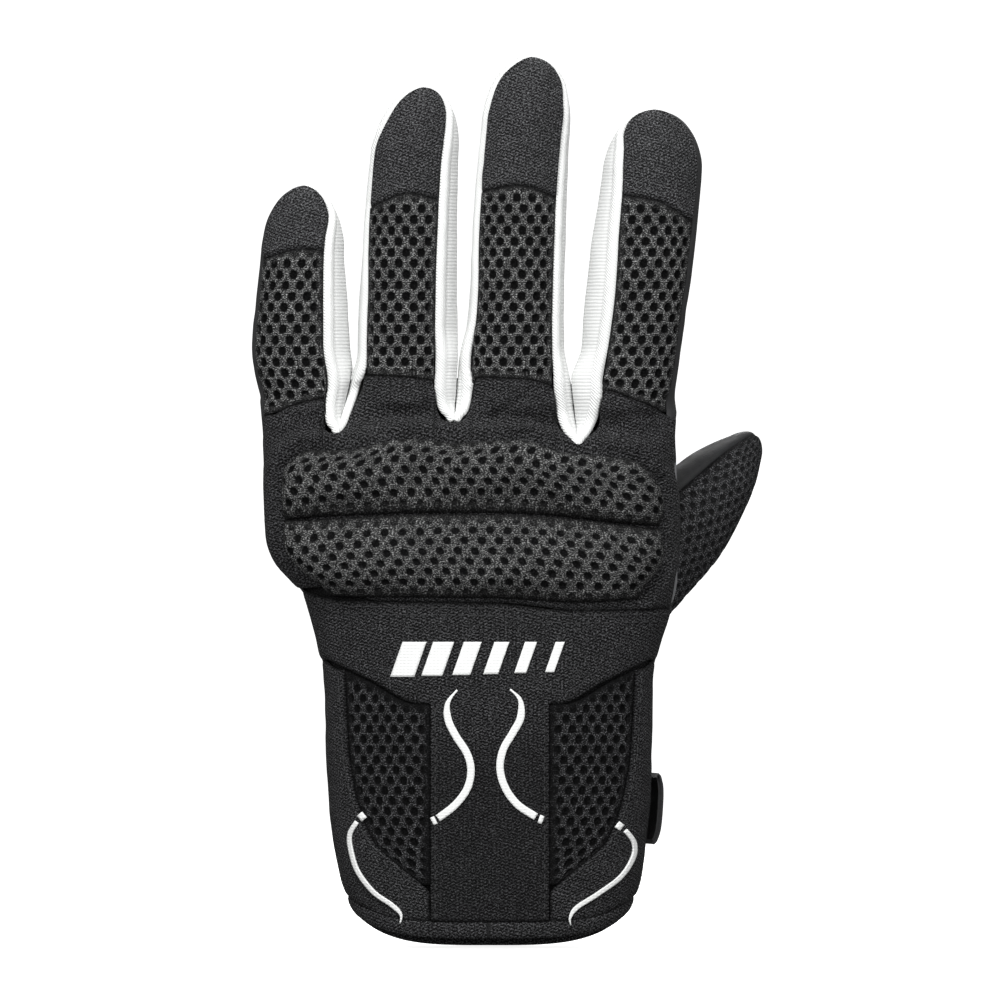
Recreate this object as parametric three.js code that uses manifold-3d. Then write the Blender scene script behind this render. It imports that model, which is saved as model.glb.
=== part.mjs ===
// A left-hand short-cuff riding glove, stuffed to the shape of a hand and standing on its cuff.
// Millimetres. +Z runs from the cuff to the fingertips, -Y is the back of the hand, +Y is the palm,
// and +X is the thumb side. The origin is the centre of the cuff opening, level with its lowest hem.
//
// Every panel of the glove is a thin skin on one of six tubes: the hand, four fingers and the thumb.
// A place on a tube is an angle (0 at its back, 90 degrees at its thumb side) and a height along it.
import * as THREE from "three";
import { mergeVertices } from "three/addons/utils/BufferGeometryUtils.js";
import Module from "manifold-3d";

const wasm = await Module();
wasm.setup();

// ---- Driving dimensions -------------------------------------------------------------------------

const SKIN = 1.6; // thickness of a panel: outer fabric, foam backing and lining laminated
const SEAM = 0.5; // gap between two panels that are sewn to each other
const ROUNDNESS = 2.5; // superellipse exponent of the hand's cross-section
const KNUCKLE = 149; // height of the four finger hinges, where the finger stalls leave the hand
const HINGE_GAP = 0.7; // each panel stops this far from a hinge's plane
const BLEND_START = 130; // the back of the hand starts to take the fingers' profile here
const BLEND_END = 152;
const HEM_WIDTH = 4.5; // height of the binding round the cuff's edge
const WRIST_SEAM = 76; // palm side: the leather palm stops here
const ELASTIC_SEAM = 55.5; // palm side: the gathered elastic stops here
const PALM_EDGE = THREE.MathUtils.degToRad(93); // the side seams between back and palm panels
const STRAP = { low: 28, high: 47, thickness: 1.8, lift: 3.1, start: 84, end: 236 }; // degrees round the cuff
const PATCH_PLANE = 21.6; // the flat outer face of the padded palm patch lies at this y

// Left and right outline of the hand, as [height, x], and its back and palm depths, as [height, depth].
const OUTLINE_LEFT = through(
  [0, -34.5], [8, -36.5], [20, -40.8], [40, -43.7], [73, -45], [92, -49.2], [104, -54.5], [113, -57.8], [149, -61.4],
);
const OUTLINE_RIGHT = through(
  [0, 34.5], [8, 37], [20, 41], [40, 43.2], [73, 44.2], [92, 49], [100, 50.6], [149, 50.2],
);
const BACK_DEPTH = through([0, 21], [60, 20.5], [95, 19], [125, 16.5], [152, 13]);
const PALM_DEPTH = through([0, 21], [40, 20.5], [75, 18.5], [100, 19], [125, 18], [152, 13]);

// A finger's centre line and half width are [height, value] stations. Its four panels meet along
// angles: the back from back[0] to back[1], the palm side from front[0] to front[1].
const FINGERS = {
  little: {
    centre: through([138, -49], [163, -51], [190, -50.6], [206, -50.2]),
    halfWidth: through([138, 12.1], [149, 12.2], [163, 13], [188, 11.2]),
    depth: 10.6, y: 2.4, bend: 6, joint: 171, capSeam: 187.5, dome: 188, tip: 205.5,
    back: [-74, 30], front: [118, 286],
  },
  ring: {
    centre: through([138, -22.4], [163, -22.3], [209, -20.4], [232, -18.2]),
    halfWidth: through([138, 13.4], [163, 13.5], [189, 12.7], [214, 11.6]),
    depth: 11.2, y: 0.6, bend: 7, joint: 186, capSeam: 203, dome: 214, tip: 232,
    back: [-62, 42], front: [122, 238],
  },
  middle: {
    centre: through([138, 6.6], [174, 7.2], [200, 8.2], [240, 10.9]),
    halfWidth: through([138, 13.1], [174, 12.8], [195, 12.6], [222, 11.6]),
    depth: 11.6, y: -0.4, bend: 8, joint: 190, capSeam: 205, dome: 222, tip: 240.3,
    back: [-54, 50], front: [125, 235],
  },
  index: {
    centre: through([138, 37.2], [160, 38], [188, 41.2], [209, 43.8], [226, 44.6]),
    halfWidth: through([138, 12.6], [160, 13.6], [188, 14.1], [209, 13.3]),
    depth: 11.6, y: 0.6, bend: 7, joint: 181, capSeam: 201, dome: 209, tip: 226,
    back: [-34, 68], front: [68, 242],
  },
};

const THUMB = {
  base: new THREE.Vector3(34, 18.5, 93),
  tip: new THREE.Vector3(72.6, 38, 138.3),
  flexTowards: new THREE.Vector3(-0.75, 0.66, 0), // the way its tip goes when it bends
  halfWidth: through([-24, 2], [-12, 9.5], [0, 13.5], [26, 14.6], [45, 10.8], [57, 8.2]),
  halfDepth: through([-24, 2], [-12, 9], [0, 12], [26, 12.4], [45, 10], [57, 7.8]),
  dome: 43,
  hinge: 25, // height along the thumb of its base hinge
  joint: 42, // height along the thumb of its middle hinge
  backEdge: 62, // degrees either side of its back to the seams of the mesh panel
};

// ---- Numbers and curves -------------------------------------------------------------------------

// A smooth curve through [position, value] stations that never overshoots them (monotone cubic).
function through(...stations) {
  const secant = (i) =>
    (stations[i + 1][1] - stations[i][1]) / (stations[i + 1][0] - stations[i][0]);
  const slopes = stations.map((_, i) => {
    if (i === 0) return secant(0);
    if (i === stations.length - 1) return secant(i - 1);
    const [a, b] = [secant(i - 1), secant(i)];
    return a * b > 0 ? (2 * a * b) / (a + b) : 0;
  });
  return (x) => {
    const last = stations.length - 2;
    let i = stations.findIndex(([start]) => start > x) - 1;
    i = i < -1 ? last : Math.min(Math.max(i, 0), last);
    const [x0, y0] = stations[i];
    const [x1, y1] = stations[i + 1];
    const t = Math.min(Math.max((x - x0) / (x1 - x0), 0), 1);
    const h = x1 - x0;
    return (
      y0 * (1 + 2 * t) * (1 - t) ** 2 +
      slopes[i] * h * t * (1 - t) ** 2 +
      y1 * t * t * (3 - 2 * t) -
      slopes[i + 1] * h * t * t * (1 - t)
    );
  };
}

const radians = THREE.MathUtils.degToRad;
const mix = THREE.MathUtils.lerp;
const smooth = THREE.MathUtils.smoothstep;
const spread = (count) => Array.from({ length: count + 1 }, (_, i) => i / count);

// ---- Tubes --------------------------------------------------------------------------------------

// The outward normal of a tube at an angle and a height, from its points close by.
function normalOf(tube, angle, height) {
  const step = 0.02;
  const across = tube.point(angle + step, height).sub(tube.point(angle - step, height));
  const along = tube.point(angle, height + step).sub(tube.point(angle, height - step));
  return across.cross(along).normalize();
}

function finger(name) {
  const f = FINGERS[name];
  return {
    ...f,
    name,
    centreY: (z) => f.y + f.bend * (Math.max(z - KNUCKLE, 0) / (f.tip - KNUCKLE)) ** 2,
    point(angle, z) {
      const dome = domeShare(z, f.dome, f.tip);
      const x = f.centre(z) + f.halfWidth(z) * dome * Math.sin(angle);
      return new THREE.Vector3(x, this.centreY(z) - f.depth * dome * Math.cos(angle), z);
    },
  };
}

// How much of its width a rounded tip keeps at a height.
function domeShare(height, dome, tip) {
  const share = Math.min(Math.max((height - dome) / (tip - dome), 0), 0.9999);
  return Math.sqrt(1 - share * share);
}

const fingers = Object.keys(FINGERS).map(finger);

// The depth of the fingers' back or palm surface at x, with the valleys between them made shallow.
function fingerDepth(x, z, side) {
  const nearest = fingers.reduce((a, b) =>
    Math.abs(x - a.centre(z)) / a.halfWidth(z) < Math.abs(x - b.centre(z)) / b.halfWidth(z) ? a : b,
  );
  const offset = Math.min(Math.abs(x - nearest.centre(z)) / nearest.halfWidth(z), 0.86);
  return nearest.y - side * nearest.depth * Math.sqrt(1 - offset * offset);
}

const hand = {
  point(angle, z) {
    const [left, right] = [OUTLINE_LEFT(z), OUTLINE_RIGHT(z)];
    const [sin, cos] = [Math.sin(angle), Math.cos(angle)];
    const stretch =
      (Math.abs(sin) ** ROUNDNESS + Math.abs(cos) ** ROUNDNESS) ** (-1 / ROUNDNESS);
    const depth = cos > 0 ? BACK_DEPTH(z) : PALM_DEPTH(z);
    const x = (left + right) / 2 + ((right - left) / 2) * sin * stretch;
    const palmY = -depth * cos * stretch;
    const share = smooth(z, BLEND_START, BLEND_END) * Math.min(1, 3 * Math.abs(cos));
    return new THREE.Vector3(x, mix(palmY, fingerDepth(x, z, Math.sign(cos)), share), z);
  },
  // The angle at which the back of the hand has this x.
  angleAt(x, z) {
    const [left, right] = [OUTLINE_LEFT(z), OUTLINE_RIGHT(z)];
    const share = Math.min(Math.abs((2 * x - left - right) / (right - left)), 0.9999);
    if (share < 1e-6) return 0;
    const steepness = (share ** -ROUNDNESS - 1) ** (-1 / ROUNDNESS);
    return Math.sign(2 * x - left - right) * Math.atan(steepness);
  },
};

const thumb = (() => {
  const axis = THUMB.tip.clone().sub(THUMB.base);
  const length = axis.length();
  axis.normalize();
  const flex = THUMB.flexTowards.clone().addScaledVector(axis, -THUMB.flexTowards.dot(axis));
  flex.normalize();
  const side = axis.clone().cross(flex.clone().negate());
  return {
    ...THUMB,
    axis,
    length,
    flex,
    point(angle, height) {
      const dome = domeShare(height, THUMB.dome, length);
      return THUMB.base
        .clone()
        .addScaledVector(axis, height)
        .addScaledVector(side, THUMB.halfWidth(height) * dome * Math.sin(angle))
        .addScaledVector(flex, -THUMB.halfDepth(height) * dome * Math.cos(angle));
    },
  };
})();

// ---- Solids -------------------------------------------------------------------------------------

// A closed body from an outer and an inner grid of points, each a function of s and t from 0 to 1.
function body(outer, inner, columns, rows) {
  const wide = columns + 1;
  const corners = (rows + 1) * wide;
  const at = (layer, i, j) => layer * corners + j * wide + i;
  const positions = [outer, inner].flatMap((grid) =>
    spread(rows).flatMap((t) => spread(columns).flatMap((s) => grid(s, t).toArray())),
  );
  const index = [];
  const quad = (a, b, c, d) => index.push(a, b, c, a, c, d);
  for (let j = 0; j < rows; j++) {
    for (let i = 0; i < columns; i++) {
      quad(at(0, i, j), at(0, i + 1, j), at(0, i + 1, j + 1), at(0, i, j + 1));
      quad(at(1, i, j), at(1, i, j + 1), at(1, i + 1, j + 1), at(1, i + 1, j));
    }
    quad(at(0, 0, j), at(0, 0, j + 1), at(1, 0, j + 1), at(1, 0, j));
    quad(at(0, columns, j), at(1, columns, j), at(1, columns, j + 1), at(0, columns, j + 1));
  }
  for (let i = 0; i < columns; i++) {
    quad(at(0, i, 0), at(1, i, 0), at(1, i + 1, 0), at(0, i + 1, 0));
    quad(at(0, i, rows), at(0, i + 1, rows), at(1, i + 1, rows), at(1, i, rows));
  }
  return closedGeometry(positions, index);
}

function closedGeometry(positions, index) {
  const geometry = new THREE.BufferGeometry();
  geometry.setAttribute("position", new THREE.Float32BufferAttribute(positions, 3));
  geometry.setIndex(index);
  return geometry;
}

// A skin of the given thickness on a tube. region(s, t) gives the [angle, height] that it covers,
// and lift is how far its outer face stands off the tube's surface.
function skin(tube, region, { columns, rows, thickness = SKIN, lift = 0 }) {
  const layer = (offset) => (s, t) => {
    const [angle, height] = region(s, t);
    const out = typeof offset === "function" ? offset(s, t) : offset;
    return tube.point(angle, height).addScaledVector(normalOf(tube, angle, height), out);
  };
  const outer = layer(lift);
  const inner = layer(typeof lift === "function" ? (s, t) => lift(s, t) - thickness : lift - thickness);
  return body(outer, inner, columns, rows);
}

// A rectangle of a tube's surface between two angles in degrees and two heights, less half a seam
// on each edge.
function band(tube, from, to, low, high) {
  const trim = SEAM / 2;
  return (s, t) => {
    const height = mix(low, high, t);
    const radius = tube.halfWidth ? tube.halfWidth(height) : 40;
    const edge = trim / radius;
    return [mix(radians(from) + edge, radians(to) - edge, s), height];
  };
}

// The same rectangle with its heights running up and over a rounded tip.
function domedBand(tube, from, to, low, dome, tip) {
  const straightShare = 0.5;
  const steepest = radians(84);
  return (s, t) => {
    const over = Math.max(t - straightShare, 0) / (1 - straightShare);
    const height =
      t < straightShare
        ? mix(low, dome, t / straightShare)
        : dome + (tip - dome) * Math.sin(over * steepest);
    const edge = SEAM / 2 / tube.halfWidth(dome);
    return [mix(radians(from) + edge, radians(to) - edge, s), height];
  };
}

function manifoldOf(geometry) {
  const merged = mergeVertices(geometry.clone(), 1e-4);
  return new wasm.Manifold(
    new wasm.Mesh({
      numProp: 3,
      vertProperties: new Float32Array(merged.attributes.position.array),
      triVerts: new Uint32Array(merged.index.array),
    }),
  );
}

function geometryOf(manifold) {
  const mesh = manifold.getMesh();
  return closedGeometry(Array.from(mesh.vertProperties), Array.from(mesh.triVerts));
}

// The largest separate body of a solid, without the slivers that a cut can leave.
function largestOf(manifold) {
  return manifold.decompose().reduce((a, b) => (a.volume() > b.volume() ? a : b));
}

// A capped solid of everything inside a tube between two heights, grown outwards by `grow`.
function coreOf(tube, low, high, grow, around, rows) {
  const ring = (height) =>
    spread(around)
      .slice(0, -1)
      .map((share) => {
        const angle = share * 2 * Math.PI;
        return tube.point(angle, height).addScaledVector(normalOf(tube, angle, height), grow);
      });
  const rings = spread(rows).map((t) => ring(mix(low, high, t)));
  const positions = rings.flat().flatMap((p) => p.toArray());
  const middle = (points) =>
    points.reduce((sum, p) => sum.add(p), new THREE.Vector3()).divideScalar(points.length);
  const bottom = rings.length * around;
  positions.push(...middle(rings[0]).toArray(), ...middle(rings[rows]).toArray());
  const index = [];
  for (let i = 0; i < around; i++) {
    const next = (i + 1) % around;
    for (let j = 0; j < rows; j++) {
      const [a, b] = [j * around + i, j * around + next];
      index.push(a, b, b + around, a, b + around, a + around);
    }
    index.push(bottom, next, i);
    index.push(bottom + 1, rows * around + i, rows * around + next);
  }
  return closedGeometry(positions, index);
}

// ---- The assembly -------------------------------------------------------------------------------

const glove = new THREE.Group();
const FABRICS = {
  knit: { color: 0x1d1e20, roughness: 0.92 },
  mesh: { color: 0x161719, roughness: 0.95 },
  white: { color: 0xe6e6e4, roughness: 0.85 },
  leather: { color: 0x17181a, roughness: 0.6 },
  foam: { color: 0x3a3b3e, roughness: 0.95 },
  webbing: { color: 0x121214, roughness: 0.8 },
  hook: { color: 0x0e0e10, roughness: 0.7 },
  label: { color: 0xd8d8d4, roughness: 0.8 },
};
const materials = Object.fromEntries(
  Object.entries(FABRICS).map(([name, look]) => [name, new THREE.MeshStandardMaterial({ ...look, metalness: 0 })]),
);

function add(name, fabric, geometry) {
  const mesh = new THREE.Mesh(geometry, materials[fabric]);
  mesh.name = name;
  glove.add(mesh);
}

// ---- Fingers: mesh back, knit cap, palm-side front and white side strips ------------------------

function addFinger(tube) {
  const low = KNUCKLE + HINGE_GAP;
  const [below, above] = [tube.joint - HINGE_GAP, tube.joint + HINGE_GAP];
  const cap = tube.capSeam + SEAM / 2;
  const sides = [];
  if (tube.back[1] < tube.front[0]) sides.push(["thumb_side", tube.back[1], tube.front[0]]);
  if (tube.front[1] - 360 < tube.back[0]) sides.push(["little_side", tube.front[1] - 360, tube.back[0]]);

  const lower = (from, to) => band(tube, from, to, low, below);
  const upper = (from, to, start) => domedBand(tube, from, to, start, Math.max(tube.dome, start + 1), tube.tip);

  add(`${tube.name}_mesh_lower`, "mesh", skin(tube, lower(...tube.back), { columns: 6, rows: 2 }));
  add(`${tube.name}_mesh_upper`, "mesh",
    skin(tube, band(tube, ...tube.back, above, tube.capSeam - SEAM / 2), { columns: 6, rows: 1 }));
  add(`${tube.name}_cap`, "knit", skin(tube, upper(...tube.back, cap), { columns: 6, rows: 6 }));
  add(`${tube.name}_front_lower`, "leather", skin(tube, lower(...tube.front), { columns: 9, rows: 2 }));
  add(`${tube.name}_front_upper`, "leather", skin(tube, upper(...tube.front, above), { columns: 9, rows: 8 }));
  for (const [side, from, to] of sides) {
    add(`${tube.name}_${side}_lower`, "white", skin(tube, lower(from, to), { columns: 4, rows: 2 }));
    add(`${tube.name}_${side}_upper`, "white", skin(tube, upper(from, to, above), { columns: 4, rows: 8 }));
  }
}

fingers.forEach(addFinger);

// ---- Thumb: mesh back and leather front, either side of its middle joint ------------------------

const thumbCore = coreOf(thumb, -22, thumb.hinge + 1, 0.4, 32, 14);
const handCore = coreOf(hand, -6, KNUCKLE + 4, 0.4, 72, 40);

function addThumb() {
  const edge = thumb.backEdge;
  const [low, below, above] = [thumb.hinge + HINGE_GAP, thumb.joint - HINGE_GAP, thumb.joint + HINGE_GAP];
  const over = (from, to) => domedBand(thumb, from, to, above, thumb.dome, thumb.length);
  add("thumb_mesh_lower", "mesh", skin(thumb, band(thumb, -edge, edge, low, below), { columns: 7, rows: 2 }));
  add("thumb_front_lower", "leather",
    skin(thumb, band(thumb, edge, 360 - edge, low, below), { columns: 12, rows: 2 }));
  add("thumb_mesh_upper", "mesh", skin(thumb, over(-edge, edge), { columns: 7, rows: 6 }));
  add("thumb_front_upper", "leather", skin(thumb, over(edge, 360 - edge), { columns: 12, rows: 6 }));

  const outer = manifoldOf(coreOf(thumb, -22, thumb.hinge - HINGE_GAP, 0, 32, 12));
  const inner = manifoldOf(coreOf(thumb, -26, thumb.hinge + 4, -SKIN, 32, 12));
  const gusset = outer.subtract(inner).subtract(manifoldOf(handCore));
  add("thumb_gusset", "leather", geometryOf(largestOf(gusset)));
}

addThumb();

// ---- Back of the hand ---------------------------------------------------------------------------

// The three forks between the fingers, as [name, x, lowest height, half width of the notch].
const FORKS = [
  ["little_ring", -36.6, 139.3, 5.6],
  ["ring_middle", -8, 142.2, 5.2],
  ["middle_index", 23, 136.6, 6.2],
];
const PANEL_TOP = KNUCKLE - HINGE_GAP;

// The top edge of the back panel dips round the white web at each fork.
function panelTop(x) {
  return FORKS.reduce((top, [, forkX, low, half]) => {
    const share = Math.abs(x - forkX) / half;
    return share < 1 ? Math.min(top, mix(low, PANEL_TOP, share ** 2.6)) : top;
  }, PANEL_TOP);
}

// Heights of the seams that cross the back of the hand, as functions of x.
const yokeTop = through([-50, 97], [-38, 93.6], [0, 93], [22, 91], [50, 91.5]);
const yokeBottom = through([-45, 77.5], [-33, 72], [-20, 66], [20, 66], [33, 72], [45, 77.5]);
// The cuff's two mesh vents are leaves between the centre panel and this outer curve.
const CENTRE_EDGE = 16;
const VENT_LOW = 17.2;
const ventOuter = through(
  [6, 16.2], [15, 16.3], [18, 19], [24, 26], [30, 32], [43.5, 36.7], [53, 38.2], [66, 39.2], [78, 39.6],
);

// The height of the cuff's edge: lowest at the palm, highest at the two sides.
function hem(angle) {
  return (Math.cos(angle) > 0 ? 3 + 6.5 * Math.sin(angle) ** 4 : 9.5 * Math.sin(angle) ** 4);
}

// A region of the back of the hand between two x edges, which may depend on height, and two
// heights, which may depend on x.
function backRegion(left, right, low, high) {
  const value = (edge, at) => (typeof edge === "function" ? edge(at) : edge);
  return (s, t) => {
    const guess = mix(value(low, 0), value(high, 0), t);
    const x0 = mix(value(left, guess), value(right, guess), s);
    const height = mix(value(low, x0), value(high, x0), t);
    const x = mix(value(left, height), value(right, height), s);
    return [hand.angleAt(x, height), height];
  };
}

function addBack() {
  const panelLow = (x) => yokeTop(x) + SEAM / 2;
  const sideEdge = PALM_EDGE - 0.012;
  const panel = (s, t) => {
    // Columns crowd round the notches, where the edge turns quickly.
    const angle = mix(-sideEdge, sideEdge, s);
    const x = hand.point(angle, KNUCKLE).x;
    return [angle, mix(panelLow(x), panelTop(x), t)];
  };
  add("back_panel", "knit", skin(hand, panel, { columns: 60, rows: 8 }));
  for (const [name, x, low, half] of FORKS) {
    const web = (s, t) => {
      const across = mix(-1, 1, s) * 0.8;
      const edge = mix(low, PANEL_TOP, Math.abs(across) ** 2.6) + 0.8;
      return [hand.angleAt(x + across * (half - 0.6), KNUCKLE), mix(edge, PANEL_TOP, t)];
    };
    add(`${name}_web`, "white", skin(hand, web, { columns: 8, rows: 3 }));
  }
  const yoke = (s, t) => {
    const angle = mix(-sideEdge, sideEdge, s);
    const x = hand.point(angle, 85).x;
    return [angle, mix(yokeBottom(x) + SEAM / 2, yokeTop(x) - SEAM / 2, t)];
  };
  add("cuff_yoke", "knit", skin(hand, yoke, { columns: 30, rows: 4 }));
}

addBack();

// ---- Knuckle guard: two foam rolls under mesh covers --------------------------------------------

const PAD = { crown: 4.6, rim: 1.3, cover: 1.2, lift: 0.5, leftEnd: -55.4, rightEnd: 46.2 };
const padTop = through(
  [-56, 131], [-50, 134], [-37, 134], [-22, 137.3], [-8, 135.4], [8, 136.9], [19, 132.8], [38, 131.4], [47, 127],
);
const padMiddle = through([-56, 115.3], [-15, 117.1], [5, 117], [44, 113.4]);
const padBottom = through([-56, 96], [-42, 94.8], [0, 94.4], [24, 93.2], [46, 94.4]);

const PADS = [
  {
    name: "upper",
    region: backRegion(
      (z) => PAD.leftEnd + 5 * smooth(z, 126, 135) ** 2,
      (z) => PAD.rightEnd - 5 * smooth(z, 118, 131) ** 2,
      (x) => padMiddle(x) + 0.5,
      padTop,
    ),
  },
  {
    name: "lower",
    region: backRegion(
      (z) => PAD.leftEnd + 12 * (1 - smooth(z, 94, 113)) ** 1.5,
      (z) => PAD.rightEnd - 6 * (1 - smooth(z, 94, 108)) ** 1.5,
      padBottom,
      (x) => padMiddle(x) - 0.5,
    ),
  },
];

function addKnuckleGuard() {
  const height = (s, t) =>
    PAD.rim + PAD.crown * Math.sqrt((1 - (2 * s - 1) ** 10) * (1 - (2 * t - 1) ** 4));
  for (const { name, region } of PADS) {
    const cover = (lift) => (s, t) => {
      const [angle, z] = region(s, t);
      return hand.point(angle, z).addScaledVector(normalOf(hand, angle, z), lift(s, t));
    };
    const outer = cover((s, t) => PAD.lift + height(s, t));
    const inner = cover((s, t) => PAD.lift + Math.max(height(s, t) - PAD.cover, 0));
    add(`knuckle_cover_${name}`, "mesh", body(outer, inner, 24, 6));

    // The foam stops short of the rim, and keeps 1 mm below the cover's underside.
    const inset = (s, t) => [mix(0.06, 0.94, s), mix(0.16, 0.84, t)];
    const foam = (lift) => (s, t) => cover(lift)(...inset(s, t));
    add(`knuckle_foam_${name}`, "foam",
      body(
        foam((s, t) => PAD.lift + height(s, t) - PAD.cover - 1),
        foam(() => PAD.lift + 0.4),
        20,
        5,
      ));
  }
}

addKnuckleGuard();

// ---- Cuff, back ---------------------------------------------------------------------------------

function addCuffBack() {
  const low = (x) => hem(hand.angleAt(x, 8)) + HEM_WIDTH + SEAM;
  const top = (x) => yokeBottom(x) - SEAM / 2;
  const inset = SEAM / 2;
  add("cuff_centre", "knit",
    skin(hand, backRegion(-CENTRE_EDGE + inset, CENTRE_EDGE - inset, low, top), { columns: 8, rows: 6 }));
  for (const [name, side] of [["little", -1], ["thumb", 1]]) {
    const vent = (s, t) => {
      const outerShare = side > 0 ? s : 1 - s;
      const level = mix(VENT_LOW, 74, t);
      const x = mix(CENTRE_EDGE + inset, ventOuter(level) - inset, outerShare);
      const height = mix(VENT_LOW, top(x), t);
      return [hand.angleAt(side * x, height), height];
    };
    add(`cuff_mesh_${name}_side`, "mesh", skin(hand, vent, { columns: 8, rows: 10 }));
    const flank = (s, t) => {
      const outerShare = side > 0 ? s : 1 - s;
      const level = mix(hem(1.2) + HEM_WIDTH, 76, t);
      const inner = hand.angleAt(side * (ventOuter(level) + inset), level);
      const angle = mix(inner, side * (PALM_EDGE - 0.012), outerShare);
      const x = hand.point(angle, level).x;
      return [angle, mix(hem(angle) + HEM_WIDTH + SEAM, top(x), t)];
    };
    add(`cuff_flank_${name}_side`, "knit", skin(hand, flank, { columns: 8, rows: 14 }));
  }
}

addCuffBack();

// ---- Palm side ----------------------------------------------------------------------------------

const PALM_FROM = THREE.MathUtils.radToDeg(PALM_EDGE);
const PALM_TO = 360 - PALM_FROM;

function addPalm() {
  const palm = manifoldOf(
    skin(hand, band(hand, PALM_FROM, PALM_TO, WRIST_SEAM + SEAM / 2, PANEL_TOP), { columns: 36, rows: 12 }),
  );
  add("palm_panel", "leather", geometryOf(largestOf(palm.subtract(manifoldOf(thumbCore)))));
  add("wrist_elastic", "knit",
    skin(hand, band(hand, PALM_FROM, PALM_TO, ELASTIC_SEAM + SEAM / 2, WRIST_SEAM - SEAM / 2), { columns: 24, rows: 2 }));
  const cuff = (s, t) => {
    const angle = mix(PALM_EDGE + 0.006, 2 * Math.PI - PALM_EDGE - 0.006, s);
    return [angle, mix(hem(angle) + HEM_WIDTH + SEAM, ELASTIC_SEAM - SEAM / 2, t)];
  };
  add("cuff_palm", "knit", skin(hand, cuff, { columns: 24, rows: 4 }));
}

addPalm();

// The padded patch on the heel of the palm: its inner face follows the palm and its outer is flat.
function addPalmPatch() {
  const place = (s, t) => {
    const [u, v] = [mix(-1, 1, s), mix(-1, 1, t)];
    const round = Math.sqrt(1 - (u * v) ** 2 * 0.35);
    const x = -22 - 17 * u * round;
    const z = 98 + 17 * v * round;
    return [Math.PI - hand.angleAt(x, z), z];
  };
  const inner = (s, t) => {
    const [angle, z] = place(s, t);
    return hand.point(angle, z).addScaledVector(normalOf(hand, angle, z), 0.4);
  };
  const outer = (s, t) => inner(s, t).setY(PATCH_PLANE);
  add("palm_patch", "leather", body(outer, inner, 8, 8));
}

addPalmPatch();

// ---- Cuff hem, strap and label ------------------------------------------------------------------

function addHem() {
  const around = 48;
  const corners = [[0.7, 0], [0.7, 1], [-2.2, 1], [-2.2, 0]];
  const positions = [];
  const index = [];
  for (let i = 0; i < around; i++) {
    const angle = (i / around) * 2 * Math.PI;
    for (const [lift, share] of corners) {
      const height = hem(angle) + share * HEM_WIDTH;
      const point = hand.point(angle, height);
      positions.push(...point.addScaledVector(normalOf(hand, angle, Math.max(height, 0.1)), lift).toArray());
    }
    const next = (i + 1) % around;
    for (let k = 0; k < corners.length; k++) {
      const following = (k + 1) % corners.length;
      const [a, b] = [i * 4 + k, next * 4 + k];
      const [c, d] = [next * 4 + following, i * 4 + following];
      index.push(a, b, c, a, c, d);
    }
  }
  add("cuff_binding", "webbing", closedGeometry(positions, index));
}

addHem();

// The closing strap runs from the thumb side across the palm side of the wrist. Its hook patch
// grips the loop patch that is sewn to the cuff.
function addStrap() {
  const { low, high, thickness, lift, start, end } = STRAP;
  const rounded = (s, t) => {
    const [u, v] = [mix(-1, 1, s), mix(-1, 1, t)];
    const tip = s > 0.9 ? 1 - 0.3 * ((s - 0.9) / 0.1) ** 2 * v * v : 1;
    return [radians(mix(start, end, s * (s > 0.5 ? tip : 1))), mix(low, high, t)];
  };
  const rise = (s) => mix(0.9, lift, smooth(s, 0.02, 0.3)) + thickness;
  add("strap", "webbing", skin(hand, rounded, { columns: 44, rows: 2, thickness, lift: (s) => rise(s) }));
  const patch = (from, to, inset) => (s, t) => [radians(mix(from, to, s)), mix(low + inset, high - inset, t)];
  add("hook_patch", "hook", skin(hand, patch(192, 230, 2), { columns: 14, rows: 1, thickness: 0.7, lift: 2.3 }));
  add("loop_patch", "hook", skin(hand, patch(176, 243, 1), { columns: 20, rows: 1, thickness: 0.8, lift: 1.2 }));
}

addStrap();

function addLabel() {
  const place = (s, t) => [radians(mix(-12, 12, s)), mix(14, 30, t)];
  add("size_label", "label", skin(hand, place, { columns: 3, rows: 1, thickness: 0.4, lift: -SKIN - 0.5 }));
}

addLabel();

export default glove;
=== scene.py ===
"""A left-hand riding glove: fabric, leather and padding, built in Blender 4.5 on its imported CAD
model.

The glove is one smooth implicit form: a hand, four fingers and a thumb, melted together where they
meet. Every panel is a grid of points dropped on to that form, with its edges sunk into the seams
and its fabric's relief raised on it. Lengths are in millimetres until a mesh is made, and then in
metres. +Z runs to the fingertips, -Y is the back of the hand, and +X is the thumb side.
"""

import math
from functools import partialmethod

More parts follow.
